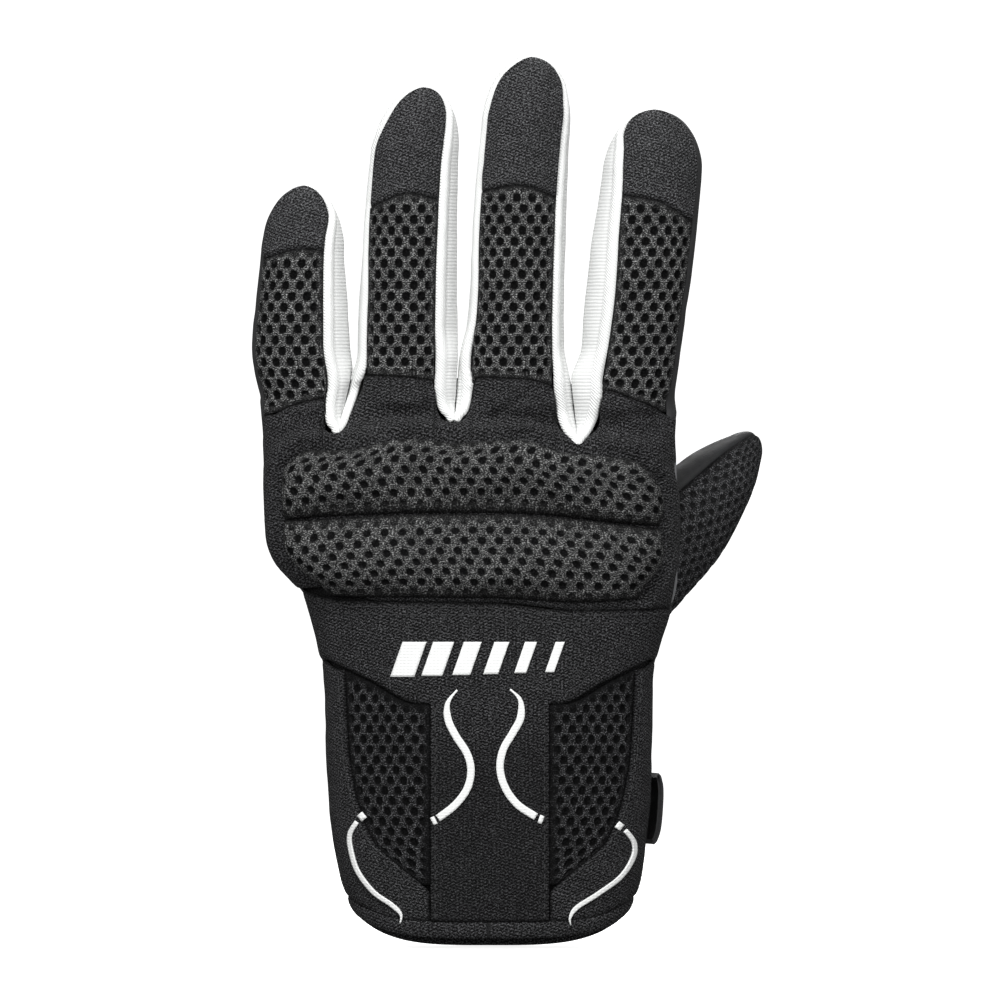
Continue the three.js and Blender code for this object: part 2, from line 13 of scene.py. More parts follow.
import bpy
import numpy as np
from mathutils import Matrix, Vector


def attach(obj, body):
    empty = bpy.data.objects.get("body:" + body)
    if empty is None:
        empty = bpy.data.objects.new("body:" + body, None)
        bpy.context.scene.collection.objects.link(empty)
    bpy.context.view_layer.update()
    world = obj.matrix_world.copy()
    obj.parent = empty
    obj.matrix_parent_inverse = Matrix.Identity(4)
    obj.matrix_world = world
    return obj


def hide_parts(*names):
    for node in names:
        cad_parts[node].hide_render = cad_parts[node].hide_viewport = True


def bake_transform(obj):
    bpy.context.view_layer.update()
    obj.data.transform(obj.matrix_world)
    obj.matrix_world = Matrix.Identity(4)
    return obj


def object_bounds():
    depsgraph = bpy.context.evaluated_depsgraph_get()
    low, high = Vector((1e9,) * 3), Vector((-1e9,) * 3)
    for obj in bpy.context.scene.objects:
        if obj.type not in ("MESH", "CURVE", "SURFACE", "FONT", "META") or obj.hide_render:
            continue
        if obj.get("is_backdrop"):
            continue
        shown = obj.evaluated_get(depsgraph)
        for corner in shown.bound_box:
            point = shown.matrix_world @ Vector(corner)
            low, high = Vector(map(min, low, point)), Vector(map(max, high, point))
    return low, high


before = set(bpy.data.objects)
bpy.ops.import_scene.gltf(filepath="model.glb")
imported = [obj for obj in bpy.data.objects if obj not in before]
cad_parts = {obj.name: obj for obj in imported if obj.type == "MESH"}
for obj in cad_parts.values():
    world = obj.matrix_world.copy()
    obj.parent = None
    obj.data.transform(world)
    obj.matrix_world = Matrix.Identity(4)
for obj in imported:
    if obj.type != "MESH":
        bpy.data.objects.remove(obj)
CAD_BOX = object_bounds()
MM = 0.001

# ---- Curves and small numeric helpers ----


def through(*stations):
    """A smooth curve through (position, value) stations that never overshoots them."""
    x, y = np.array(stations, float).T
    gaps = np.diff(x)
    secants = np.diff(y) / gaps
    slopes = np.concatenate([secants[:1], np.zeros(len(x) - 2), secants[-1:]])
    for i in range(1, len(x) - 1):
        a, b = secants[i - 1], secants[i]
        slopes[i] = 2 * a * b / (a + b) if a * b > 0 else 0

    def value(at):
        at = np.clip(np.asarray(at, float), x[0], x[-1])
        i = np.clip(np.searchsorted(x, at, side="right") - 1, 0, len(x) - 2)
        t = (at - x[i]) / gaps[i]
        rise = slopes[i] * t * (1 - t) ** 2 - slopes[i + 1] * t * t * (1 - t)
        return y[i] * (1 + 2 * t) * (1 - t) ** 2 + y[i + 1] * t * t * (3 - 2 * t) + gaps[i] * rise

    return value


def mix(a, b, t):
    return a + (b - a) * t


def smooth(at, low, high):
    t = np.clip((at - low) / (high - low), 0, 1)
    return t * t * (3 - 2 * t)


def smooth_min(a, b, k):
    h = np.clip(k - np.abs(a - b), 0, None) / k
    return np.minimum(a, b) - h * h * k / 4


def smooth_max(a, b, k):
    return -smooth_min(-a, -b, k)


def along(*columns):
    """Stacks x, y and z arrays of one shape, or of shapes that broadcast, into points."""
    return np.stack(np.broadcast_arrays(*columns), axis=-1)


def noise(points, size, seed):
    """Smooth value noise from -1 to 1 with features about `size` mm across."""
    q = np.asarray(points) / size
    cell = np.floor(q).astype(int)
    f = q - cell
    f = f * f * (3 - 2 * f)
    total = 0
    for corner in np.ndindex(*(2,) * q.shape[-1]):
        lattice = cell + corner
        mixed = lattice @ np.array([127, 311, 74, 59][: q.shape[-1]]) + seed * 1013
        value = np.sin(mixed * 12.9898) * 43758.5453
        weight = np.prod(np.where(corner, f, 1 - f), axis=-1)
        total = total + weight * (2 * (value - np.floor(value)) - 1)
    return total


# ---- The form ----

ROUNDNESS = 2.5
KNUCKLE = 149
# The outline of the hand and cuff from behind: x at each z.
OUTLINE_LEFT = through(
    (0, -34.5), (8, -36.5), (20, -40.8), (40, -43.7), (73, -45), (92, -49.2), (104, -54.5),
    (113, -57.5), (135, -59.6), (149, -58.2),
)  # fmt: skip
OUTLINE_RIGHT = through(
    (0, 34.5), (8, 37), (20, 41), (40, 43.2), (73, 44.2), (92, 49), (100, 50.3), (130, 49.6),
    (149, 48.6),
)
# The hand's depth on each side of y = 0 at each z, and how high its body reaches between the
# fingers: a height for each y, and a rise on it for each x.
BACK_DEPTH = through((0, 21), (60, 20.5), (95, 19), (125, 16), (140, 13.8), (152, 12))
PALM_DEPTH = through((0, 21), (40, 20.5), (75, 18.5), (100, 19), (125, 18), (152, 13))
WEB_SLOPE = through((-18, 132), (-10, 139.5), (-5, 145), (0, 149), (6, 150.5), (14, 149))
WEB_RISE = through((-52, 0), (-40, 0), (-10, 3), (23, -3), (40, -2))

# Seams are angles round a finger in degrees, from 0 at its back to 90 at its thumb side. `left`
# and `right` edge its back at each z, and `front` edges its palm side. `cap` is the height of its
# cap's seam at each x. Its fabric turns between the two heights of `knuckle` and of `middle`.
FINGERS = {
    "little": dict(
        centre=through((138, -48.4), (149, -49.2), (163, -51), (190, -50.6), (206, -50.2)),
        width=through((138, 10.4), (147, 11.2), (155, 13.5), (163, 13.2), (188, 11.2)),
        depth=10.6, y=2.4, bend=6, dome=188, tip=205.5,
        left=through((140, -74), (206, -74)),
        right=through((147, 27), (183, 32), (191, 36), (200, 56), (206, 62)),
        front=(118, 286), cap=through((-61, 186), (-51, 188.4), (-44, 187.8)),
        knuckle=(153.5, 162), middle=(163, 179),
    ),
    "ring": dict(
        centre=through((138, -22.4), (163, -22.3), (209, -20.6), (232, -18.2)),
        width=through((138, 13.4), (163, 13.5), (189, 12.7), (214, 11.8)),
        depth=11.2, y=0.6, bend=7, dome=214, tip=232,
        left=through((152, -56), (175, -58), (200, -70), (215, -70), (222, -62), (232, -58)),
        right=through((152, 34), (206, 39), (217, 42), (223, 49), (227, 60), (232, 80)),
        front=(122, 238), cap=through((-33, 199.5), (-22, 203.3), (-13, 201.5)),
        knuckle=(154.5, 168), middle=(176, 196),
    ),
    "middle": dict(
        centre=through((138, 6.6), (160, 6.6), (174, 7.2), (200, 8.2), (240, 10.9)),
        width=through((138, 13.1), (160, 13.4), (174, 12.8), (195, 12.6), (222, 12)),
        depth=11.6, y=-0.4, bend=8, dome=222, tip=240.3,
        left=through((150, -62), (174, -59), (191, -63), (234, -64), (240, -50)),
        right=through((150, 52), (190, 52), (207, 54), (228, 63), (235, 78), (240, 88)),
        front=(125, 235), cap=through((-3, 203.8), (8, 205.4), (18.5, 202)),
        knuckle=(154.5, 170), middle=(180, 200),
    ),
    "index": dict(
        centre=through((138, 36.6), (148, 37), (160, 38), (188, 41.2), (209, 43.8), (226, 44.6)),
        width=through((138, 10.6), (146, 11.4), (152, 13), (160, 13.5), (188, 14.1), (209, 13.4)),
        depth=11.6, y=0.6, bend=7, dome=209, tip=226,
        left=through((150, -34), (160, -30), (174, -27), (204, -36), (215, -42), (226, -85)),
        right=through((140, 68), (226, 68)),
        front=(68, 242), cap=through((34, 203.2), (45, 201.3), (55, 195.6)),
        knuckle=(153.5, 166), middle=(171, 191),
    ),
}  # fmt: skip

# The forks between neighbouring fingers: the outline of the white web on the back of the hand, as
# (x, z) stations from left to right, and the place (x, z) above which daylight shows between them.
FORKS = [
    dict(
        fingers=("little", "ring"),
        notch=[(-44.6, 148), (-44.3, 142), (-43, 139.6), (-40.8, 138.7), (-39, 140.4),
               (-37.3, 145), (-35, 151), (-34.2, 154.2)],
        daylight=(-37.6, 153),
    ),
    dict(
        fingers=("ring", "middle"),
        notch=[(-15.2, 152.8), (-14.6, 147.8), (-13.7, 144.9), (-12, 142.9), (-9.6, 142),
               (-7.3, 142.9), (-5.7, 145.2), (-4.6, 150), (-4.3, 153.6)],
        daylight=(-8.4, 160),
    ),
    dict(
        fingers=("middle", "index"),
        notch=[(17, 151.3), (18, 143.7), (19.9, 139), (23.7, 135.7), (27.5, 139.6),
               (29.5, 144.3), (30.8, 150.1)],
        daylight=(21.6, 154.5),
    ),
]  # fmt: skip
PANEL_TOP = through(
    (-63, 142), (-60.8, 142.6), (-52.4, 146.3), *FORKS[0]["notch"], (-24, 153.8),
    *FORKS[1]["notch"], (8, 153.2), *FORKS[2]["notch"], (40, 147.2), (49.1, 143.4), (52, 142.2),
)  # fmt: skip

# Heights along the thumb, and the angle of its side seams, are measured from its base.
THUMB_BASE = np.array([34, 18.5, 93])
THUMB_TIP = np.array([72.6, 38, 138.3])
THUMB_LENGTH = np.linalg.norm(THUMB_TIP - THUMB_BASE)
THUMB_AXIS = (THUMB_TIP - THUMB_BASE) / THUMB_LENGTH
TOWARDS_PALM = np.array([-0.75, 0.66, 0])
THUMB_FLEX = TOWARDS_PALM - THUMB_AXIS * (TOWARDS_PALM @ THUMB_AXIS)
THUMB_FLEX /= np.linalg.norm(THUMB_FLEX)
THUMB_SIDE = np.cross(THUMB_AXIS, -THUMB_FLEX)
THUMB_WIDTH = through((-24, 2), (-12, 9.5), (0, 13.5), (26, 14.6), (45, 10.8), (57, 8.2))
THUMB_DEPTH = through((-24, 2), (-12, 9), (0, 12), (26, 12.4), (45, 10), (57, 7.8))
THUMB_DOME = 43
THUMB_HINGE, THUMB_JOINT, THUMB_SPLIT = 25, 42, 33.5
THUMB_EDGE = 62


def dome_share(height, dome, tip):
    """How wide a fingertip still is at a height, from 1 at its dome's start to 0 at its tip."""
    share = np.clip((height - dome) / (tip - dome), 0, 0.99999)
    return np.sqrt(1 - share**2)


def finger_y(f, z):
    """A finger's centre line leans towards the palm as it rises."""
    return f["y"] + f["bend"] * (np.clip(z - KNUCKLE, 0, None) / (f["tip"] - KNUCKLE)) ** 2


def finger_point(f, degrees, z):
    angle = np.radians(degrees)
    dome = dome_share(z, f["dome"], f["tip"])
    x = f["centre"](z) + f["width"](z) * dome * np.sin(angle)
    return along(x, finger_y(f, z) - f["depth"] * dome * np.cos(angle), z)


def finger_field(f, p):
    x, y, z = np.moveaxis(p, -1, 0)
    above = np.clip(z - f["dome"], 0, None) / (f["tip"] - f["dome"])
    below = np.clip(112 - z, 0, None) / 12
    across = (x - f["centre"](z)) / f["width"](z)
    back = (y - finger_y(f, z)) / f["depth"]
    return (np.sqrt(across**2 + back**2 + above**2 + below**2 + 1e-9) - 1) * f["depth"]


def hand_point(angle, z):
    left, right = OUTLINE_LEFT(z), OUTLINE_RIGHT(z)
    sin, cos = np.sin(angle), np.cos(angle)
    stretch = (np.abs(sin) ** ROUNDNESS + np.abs(cos) ** ROUNDNESS) ** (-1 / ROUNDNESS)
    depth = np.where(cos > 0, BACK_DEPTH(z), PALM_DEPTH(z))
    return along((left + right) / 2 + (right - left) / 2 * sin * stretch, -depth * cos * stretch, z)


def hand_angle(x, z):
    """The angle at which the back of the hand has this x."""
    left, right = OUTLINE_LEFT(z), OUTLINE_RIGHT(z)
    share = (2 * x - left - right) / (right - left)
    size = np.clip(np.abs(share), 1e-6, 0.9999)
    return np.sign(share) * np.arctan((size**-ROUNDNESS - 1) ** (-1 / ROUNDNESS))


def hand_field(p):
    x, y, z = np.moveaxis(p, -1, 0)
    left, right = OUTLINE_LEFT(z), OUTLINE_RIGHT(z)
    half = (right - left) / 2
    depth = np.where(y < 0, BACK_DEPTH(z), PALM_DEPTH(z))
    share = np.abs((x - (left + right) / 2) / half) ** ROUNDNESS + np.abs(y / depth) ** ROUNDNESS
    body = (share ** (1 / ROUNDNESS) - 1) * depth
    return smooth_max(body, z - WEB_SLOPE(y) - WEB_RISE(x), 4)


def form(p):
    """Negative inside the hand and fingers, zero on their skin."""
    fingers = [finger_field(f, p) for f in FINGERS.values()]
    joined = fingers[0]
    for other in fingers[1:]:
        joined = smooth_min(joined, other, 1.8)
    return smooth_min(hand_field(p), joined, 5)


def thumb_point(degrees, height):
    angle = np.radians(degrees)
    dome = dome_share(height, THUMB_DOME, THUMB_LENGTH)
    centre = THUMB_BASE + np.asarray(height)[..., None] * THUMB_AXIS
    side = (THUMB_WIDTH(height) * dome * np.sin(angle))[..., None] * THUMB_SIDE
    return centre + side - (THUMB_DEPTH(height) * dome * np.cos(angle))[..., None] * THUMB_FLEX


def thumb_form(p):
    q = p - THUMB_BASE
    height, side, back = q @ THUMB_AXIS, q @ THUMB_SIDE, q @ -THUMB_FLEX
    above = np.clip(height - THUMB_DOME, 0, None) / (THUMB_LENGTH - THUMB_DOME)
    across, deep = side / THUMB_WIDTH(height), back / THUMB_DEPTH(height)
    return (np.sqrt(across**2 + deep**2 + above**2 + 1e-9) - 1) * THUMB_DEPTH(height)


def gradient(field, p, value=None):
    step = 0.02
    value = field(p) if value is None else value
    return along(*[(field(p + step * axis) - value) / step for axis in np.eye(3)])


def settle(field, p, rounds=5):
    """Moves points on to a field's skin, and returns them with the outward normals there."""
    for _ in range(rounds):
        value = field(p)
        slope = gradient(field, p, value)
        step = value[..., None] * slope / np.clip((slope**2).sum(-1, keepdims=True), 0.05, None)
        length = np.linalg.norm(step, axis=-1, keepdims=True)
        p = p - step * np.minimum(1, 3 / np.clip(length, 1e-9, None))
    slope = gradient(field, p)
    return p, slope / np.clip(np.linalg.norm(slope, axis=-1, keepdims=True), 1e-9, None)


def drop(x, z, side=-1):
    """The points of the back (side -1) or palm (side 1) of the glove at x and z."""
    x, z = np.broadcast_arrays(np.asarray(x, float), np.asarray(z, float))
    outside, inside = np.full(x.shape, side * 34.0), np.full(x.shape, 3.0)
    for _ in range(22):
        middle = (outside + inside) / 2
        out = form(along(x, middle, z)) > 0
        outside, inside = np.where(out, middle, outside), np.where(out, inside, middle)
    return along(x, (outside + inside) / 2, z)


# ---- Meshes ----


def make_object(name, points, fabric, faces, material, body=None):
    """A mesh object from points in mm, with each point's place on its fabric kept as `fabric`."""
    points, fabric = points.reshape(-1, 3), fabric.reshape(-1, 3)
    mesh = bpy.data.meshes.new(name)
    mesh.from_pydata((points * MM).tolist(), [], faces.tolist(), shade_flat=False)
    mesh.validate()
    place = mesh.attributes.new("fabric", "FLOAT_VECTOR", "POINT")
    place.data.foreach_set("vector", fabric.astype(np.float32).ravel())
    mesh.materials.append(material)
    piece = bpy.data.objects.new(f"{name}_look", mesh)
    bpy.context.collection.objects.link(piece)
    if body:
        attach(piece, body)
    return piece


def grid_faces(rows, columns, closed=False):
    """The quads of a grid of points, whose columns may close into a ring."""
    wide = columns if closed else columns + 1
    j, i = np.mgrid[0:rows, 0:columns]
    low, right = j * wide, (i + 1) % wide
    high = low + wide
    return np.stack([low + i, low + right, high + right, high + i], -1).reshape(-1, 4)


def distances(points, axis):
    """How far each grid point lies along its row or column from the start, in mm."""
    gaps = np.linalg.norm(np.diff(points, axis=axis), axis=-1)
    start = np.zeros_like(np.take(gaps, [0], axis=axis))
    return np.concatenate([start, np.cumsum(gaps, axis=axis)], axis=axis)


def steps(count):
    """Even shares from 0 to 1, with one more very near each end, so that smooth shading stays flat
    up to the edges."""
    near = 0.04 / count
    return np.concatenate([[0, near], np.linspace(0, 1, count + 1)[1:-1], [1 - near, 1]])


def grid_normals(points, facing):
    """Unit normals of a grid of points, on the side that faces this way."""
    normals = np.cross(np.gradient(points, axis=1), np.gradient(points, axis=0))
    normals /= np.clip(np.linalg.norm(normals, axis=-1, keepdims=True), 1e-9, None)
    return normals * np.sign((normals @ np.array(facing, float)).mean())


def turned(points, faces, outward):
    """The faces, flipped together where that makes them look outward."""
    a, b, c = (points.reshape(-1, 3)[faces[:, k]] for k in (0, 1, 3))
    return faces if (np.cross(b - a, c - a) * outward).sum(-1).mean() > 0 else faces[:, ::-1]


def thicken(piece, thickness):
    """Gives a sheet a thickness in mm, inwards from its face."""
    solid = piece.modifiers.new("thickness", "SOLIDIFY")
    solid.thickness = thickness * MM
    solid.offset = -1


def panel(name, guess, size, material, body=None, nodes=(), field=form, seams=(1, 1, 1, 1),
          relief=None, sink=0.7, roll=2.2, lift=0.0, settled=5, thickness=1.2, origin=0.5,
          facing=None, straight_grain=False, cloth_place=None):
    """A fabric panel on the form, in place of some CAD nodes. guess(s, t) gives its points, s
    across and t up, and size is its (columns, rows). seams says how deep its left, right, low and
    high edges sink into their seams, as shares of `sink`, over `roll` mm. relief(place, points) is
    the fabric's own height. A panel with a `facing` keeps its guessed points. Its fabric's u is 0
    at `origin` across it and its v is z, or both come from cloth_place(points)."""
    s, t = np.meshgrid(steps(size[0]), steps(size[1]))
    rows, columns = s.shape[0] - 1, s.shape[1] - 1
    if facing:
        points = guess(s, t)
        normals = grid_normals(points, facing)
    else:
        points, normals = settle(field, guess(s, t), settled)
    across, up = distances(points, 1), distances(points, 0)
    groove = np.zeros_like(across)
    edge = np.full_like(across, 99.0)
    for share, gap in zip(seams, (across, across[:, -1:] - across, up, up[-1:] - up)):
        if np.ndim(share):
            share = np.interp(s, np.linspace(0, 1, len(share)), share)
        inside = np.clip(1 - gap / roll, 0, 1)
        groove = np.maximum(groove, share * (1 - np.sqrt(1 - inside**2)))
        edge = np.minimum(edge, np.where(np.asarray(share) > 0.3, gap, 99.0))
    grain = across[: rows // 2].mean(axis=0) + 0 * across if straight_grain else across
    centre = np.take(grain, [round(origin * columns)], axis=1)
    place = along(grain - centre, points[..., 2], np.minimum(edge, 20))
    if cloth_place:
        place[..., 0], place[..., 1] = cloth_place(points)
    height = lift - sink * groove
    if relief is not None:
        height = height + relief(place, points)
    points = points + normals * height[..., None]
    faces = grid_faces(rows, columns)
    faces = turned(points, faces, normals.reshape(-1, 3)[faces[:, 0]])
    piece = make_object(name, points, place, faces, material, body)
    thicken(piece, thickness)
    if nodes:
        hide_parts(*nodes)
    return piece


def bend(piece, bodies, start, end):
    """Bakes a piece's transform into its mesh. Its bodies, start and end are not used."""
    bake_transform(piece)


# ---- Fabric relief ----

# Spacer meshes: the spacing of their holes across and up, and the holes' half width and height.
FINGER_MESH = dict(pitch=4.2, row=2.95, hole=(1.08, 1.2))
PAD_MESH = dict(pitch=4.65, row=2.9, hole=(1.0, 1.02))
VENT_MESH = dict(pitch=3.9, row=2.75, hole=(1.0, 1.1))
THUMB_MESH = dict(pitch=3.6, row=2.7, hole=(0.85, 0.85))


def holes(place, pitch, row, hole):
    """1 in the middle of a spacer mesh's holes and 0 on its net."""
    u, v = place[..., 0], place[..., 1]
    line = np.floor(v / row)
    column = u / pitch + 0.5 * (line % 2)
    du = (column - np.round(column)) * pitch / hole[0]
    dv = (v / row - line - 0.5) * row / hole[1]
    return 1 - smooth((np.abs(du) ** 2.4 + np.abs(dv) ** 2.4) ** (1 / 2.4), 0.7, 1.2)


def mesh_relief(spec, depth=0.6):
    """The relief of a spacer mesh: dents at its holes, shallow beside its seams."""

    def relief(place, points):
        shallow = smooth(place[..., 2], 0.6, 2.4)
        return -depth * holes(place, **spec) * shallow + 0.12 * noise(points, 6, 3)

    return relief


def knit_relief(place, points):
    """The slight unevenness of soft fabric: broad swells, and fine folds that run across."""
    folds = along(points[..., 0] * 0.35, points[..., 2])
    return 0.16 * noise(points, 14, 1) + 0.12 * noise(folds, 4, 2)


# ---- Materials ----


class Value:
    """A number that shader nodes work out, so that patterns read as formulas."""

    def __init__(self, tree, socket):
        self.tree, self.socket = tree, socket

    def math(self, operation, *others):
        node = self.tree.nodes.new("ShaderNodeMath")
        node.operation = operation
        for socket, value in zip(node.inputs, (self, *others)):
            if isinstance(value, Value):
                self.tree.links.new(value.socket, socket)
            else:
                socket.default_value = value
        return Value(self.tree, node.outputs[0])

    def wave(self):
        """A sine of this many whole turns, from 0 to 1."""
        return (self * (2 * math.pi)).math("SINE") * 0.5 + 0.5

    def ramp(self, low, high, start=0.0, end=1.0):
        """Goes smoothly from start to end as the value goes from low to high."""
        node = self.tree.nodes.new("ShaderNodeMapRange")
        node.interpolation_type = "SMOOTHSTEP"
        self.tree.links.new(self.socket, node.inputs["Value"])
        limits = {"From Min": low, "From Max": high, "To Min": start, "To Max": end}
        for name, value in limits.items():
            node.inputs[name].default_value = value
        return Value(self.tree, node.outputs["Result"])


# The operators and methods of a Value that are one node each.
OPERATIONS = dict(
    __add__="ADD", __sub__="SUBTRACT", __mul__="MULTIPLY", __truediv__="DIVIDE", __pow__="POWER",
    floor="FLOOR", fraction="FRACT", size="ABSOLUTE",
)  # fmt: skip
for method, operation in OPERATIONS.items():
    setattr(Value, method, partialmethod(Value.math, operation))


class Fabric:
    """A Principled material under construction, with its pattern coordinates in mm."""

    def __init__(self, name):
        self.material = bpy.data.materials.new(name)
        self.material.use_nodes = True
        self.tree = self.material.node_tree
        self.shader = self.tree.nodes["Principled BSDF"]
        source = self.tree.nodes.new("ShaderNodeAttribute")
        source.attribute_name = "fabric"
        self.place = source.outputs["Vector"]
        split = self.tree.nodes.new("ShaderNodeSeparateXYZ")
        self.tree.links.new(self.place, split.inputs[0])
        self.u, self.v, self.edge = (Value(self.tree, split.outputs[i]) for i in range(3))

    def texture(self, kind, per_mm, stretch):
        """A texture node on the fabric's u and v, each stretched."""
        scale = self.tree.nodes.new("ShaderNodeVectorMath")
        scale.operation = "MULTIPLY"
        scale.inputs[1].default_value = stretch
        self.tree.links.new(self.place, scale.inputs[0])
        node = self.tree.nodes.new(kind)
        node.inputs["Scale"].default_value = per_mm
        self.tree.links.new(scale.outputs[0], node.inputs["Vector"])
        return node

    def noise(self, per_mm, stretch=(1, 1, 0), detail=2.0):
        node = self.texture("ShaderNodeTexNoise", per_mm, stretch)
        node.inputs["Detail"].default_value = detail
        return Value(self.tree, node.outputs["Fac"])

    def cells(self, per_mm, stretch=(1, 1, 0)):
        """Each point's distance from the middle of its cell, and a random number for the cell."""
        node = self.texture("ShaderNodeTexVoronoi", per_mm, stretch)
        colour = self.tree.nodes.new("ShaderNodeSeparateXYZ")
        self.tree.links.new(node.outputs["Color"], colour.inputs[0])
        return Value(self.tree, node.outputs["Distance"]), Value(self.tree, colour.outputs[0])

    def colour(self, share, low, high):
        """A colour that goes from low to high, each a colour or a socket, as share goes to 1."""
        node = self.tree.nodes.new("ShaderNodeMix")
        node.data_type = "RGBA"
        self.tree.links.new(share.socket, node.inputs["Factor"])
        for socket, value in ((node.inputs["A"], low), (node.inputs["B"], high)):
            if isinstance(value, tuple):
                socket.default_value = (*value, 1)
            else:
                self.tree.links.new(value, socket)
        return node.outputs["Result"]

    def finish(self, colour, height=None, depth=0.2, roughness=0.9, sheen=0.0, specular=0.2):
        """The material with this colour, and a bump of `depth` mm where height goes from 0 to 1."""
        self.tree.links.new(colour, self.shader.inputs["Base Color"])
        if isinstance(roughness, Value):
            self.tree.links.new(roughness.socket, self.shader.inputs["Roughness"])
        else:
            self.shader.inputs["Roughness"].default_value = roughness
        self.shader.inputs["Sheen Weight"].default_value = sheen
        self.shader.inputs["Sheen Roughness"].default_value = 0.4
        self.shader.inputs["Specular IOR Level"].default_value = specular
        if height is not None:
            bump = self.tree.nodes.new("ShaderNodeBump")
            bump.inputs["Distance"].default_value = depth * MM
            self.tree.links.new(height.socket, bump.inputs["Height"])
            self.tree.links.new(bump.outputs["Normal"], self.shader.inputs["Normal"])
        return self.material


def grey(value):
    """A near-neutral grey: the dark fabrics are very slightly cool, and white is plain."""
    return (value, value * 1.01, value * (1.05 if value < 0.3 else 1))


def knit_material(name, dark, light, flecks=0.55, painted_shade_by_height=None):
    """A flecked plain knit: chevron loops in columns, with lighter yarn showing here and there. Painted
    shade darkens it beside its seams and, if asked, lower down.
    """
    f = Fabric(name)
    wander = f.noise(0.35, detail=1.0) * 0.5
    column = f.u / 1.1 + wander
    chevron = (column.fraction() - 0.5).size()
    row = f.v / 0.9 + f.u * 0.3 + chevron * 0.9 + wander
    loop = row.wave() ** 1.5 * (column.wave() * 0.5 + 0.5)
    distance, pick = f.cells(1.3, (1, 1.3, 0))
    fleck = pick.ramp(flecks, flecks + 0.25) * distance.ramp(0.6, 0.15)
    fine = f.noise(2.0, (1, 1.5, 0), 1.0).ramp(0.46, 0.7)
    broad = f.noise(0.12) * 0.5 + 0.75
    share = (loop * 0.45 + fleck * 0.35 + fine * 0.7 - 0.14) * broad
    # Painted shade: the knit darkens to 0.3 of its tone at a sunk seam, back to full tone 1.1 mm from it.
    share = share * f.edge.ramp(0.0, 1.1, 0.3, 1.0)
    # Painted shade by height: the knit's tone is scaled by a ramp on z, given as (low z, high z, share at
    # low, share at high).
    if painted_shade_by_height:
        share = share * f.v.ramp(*painted_shade_by_height)
    tone = f.colour(share, grey(dark), grey(light))
    return f.finish(tone, loop + fine * 0.6, 0.3, 0.95, 0.02, 0.06)


def mesh_material(name, spec, net, gap, seam_shade):
    """A spacer mesh: a net of light flecked yarn round dark holes. The holes' dark is partly the darker
    yarn inside them and partly painted shade, and painted shade also darkens the net round each hole and
    beside its seams.
    """
    f = Fabric(name)
    line = (f.v / spec["row"]).floor()
    shift = (line * 0.5).fraction()
    du = ((f.u / spec["pitch"] + shift + 0.5).fraction() - 0.5) * (spec["pitch"] / spec["hole"][0])
    dv = ((f.v / spec["row"]).fraction() - 0.5) * (spec["row"] / spec["hole"][1])
    ragged = f.noise(1.6) * 0.5 - 0.25
    radius = (du.size() ** 2.4 + dv.size() ** 2.4) ** (1 / 2.4) + ragged
    open_share = radius.ramp(1.16, 0.86) * f.edge.ramp(0.5, 2.6, 0.25, 1.0)
    fine = f.noise(2.1, (1, 1.5, 0), 1.0).ramp(0.48, 0.68)
    coarse = f.noise(1.1, (1, 0.8, 0), 2.0).ramp(0.34, 0.62)
    yarn = fine * (coarse * 0.5 + 0.5) + coarse * 0.08
    rim = radius.ramp(1.05, 1.3)
    broad = f.noise(0.1) * 0.6 + 0.7
    # Painted shade: the net darkens to 0.6 of its tone at each hole's rim, and to 0.12 of it at its seams
    # over a width in mm given for each mesh.
    net_share = yarn * (rim * 0.4 + 0.6) * broad * f.edge.ramp(0.0, seam_shade, 0.12, 1.0)
    net_tone = f.colour(net_share, grey(net * 0.04), grey(net * 1.9))
    # The holes' tone: partly the darker yarn behind them, and partly painted shade in the holes.
    inner = f.colour(f.noise(2.4).ramp(0.4, 0.7), grey(gap * 0.4), grey(gap * 3.0))
    tone = f.colour(open_share, net_tone, inner)
    height = yarn * (open_share * -1.0 + 1.0)
    return f.finish(tone, height, 0.34, 0.96, 0.0, 0.05)


def rib_material():
    """White stretch fabric: fine ribs across, with a smooth twilled band along its outer edge."""
    f = Fabric("white_stretch")
    band = f.u.size().ramp(3.3, 2.9)
    ribs = (f.v / 0.93 + f.noise(0.3) * 0.25).wave()
    twill = (f.v / 0.8 + f.u / 0.9).wave()
    height = ribs * (band * -1.0 + 1.0) * 0.6 + twill * band
    loops = ((f.u / 0.8).wave() * 0.25 + 0.75) * height
    tone = f.colour(loops * 0.35 + band * 0.3 + f.noise(1.6) * 0.35, grey(0.56), grey(0.78))
    return f.finish(tone, loops, 0.14, 0.9, 0.0, 0.1)


def leather_material(name, dark, light):
    """Smooth synthetic leather with a fine grain, and lighter where it is worn."""
    f = Fabric(name)
    distance, pick = f.cells(1.6)
    grain = distance.ramp(0.05, 0.5) * 0.7 + f.noise(3.0) * 0.3
    wear = f.noise(0.09, detail=3.0)
    tone = f.colour(wear * 0.7 + grain * 0.3, grey(dark), grey(light))
    return f.finish(tone, grain, 0.07, f.noise(0.25).ramp(0.3, 0.7, 0.6, 0.78), 0.0, 0.22)


def print_material():
    """A thick white print that the knit's loops show through a little."""
    f = Fabric("white_print")
    loops = (f.u / 1.0).wave() * (f.v / 0.8).wave()
    tone = f.colour(f.noise(2.0) * 0.6 + loops * 0.4, grey(0.6), grey(0.78))
    return f.finish(tone, loops + f.noise(2.5), 0.08, 0.55, 0.0, 0.4)


def tape_material(name, dark, light, rib):
    """Woven tape: fine ribs one way, threads the other."""
    f = Fabric(name)
    weave = (f.u / rib).wave() * 0.6 + (f.v / (rib * 0.6)).wave() * 0.4
    tone = f.colour(weave * 0.7 + f.noise(1.5) * 0.3, grey(dark), grey(light))
    return f.finish(tone, weave, 0.15, 0.85, 0.0, 0.25)


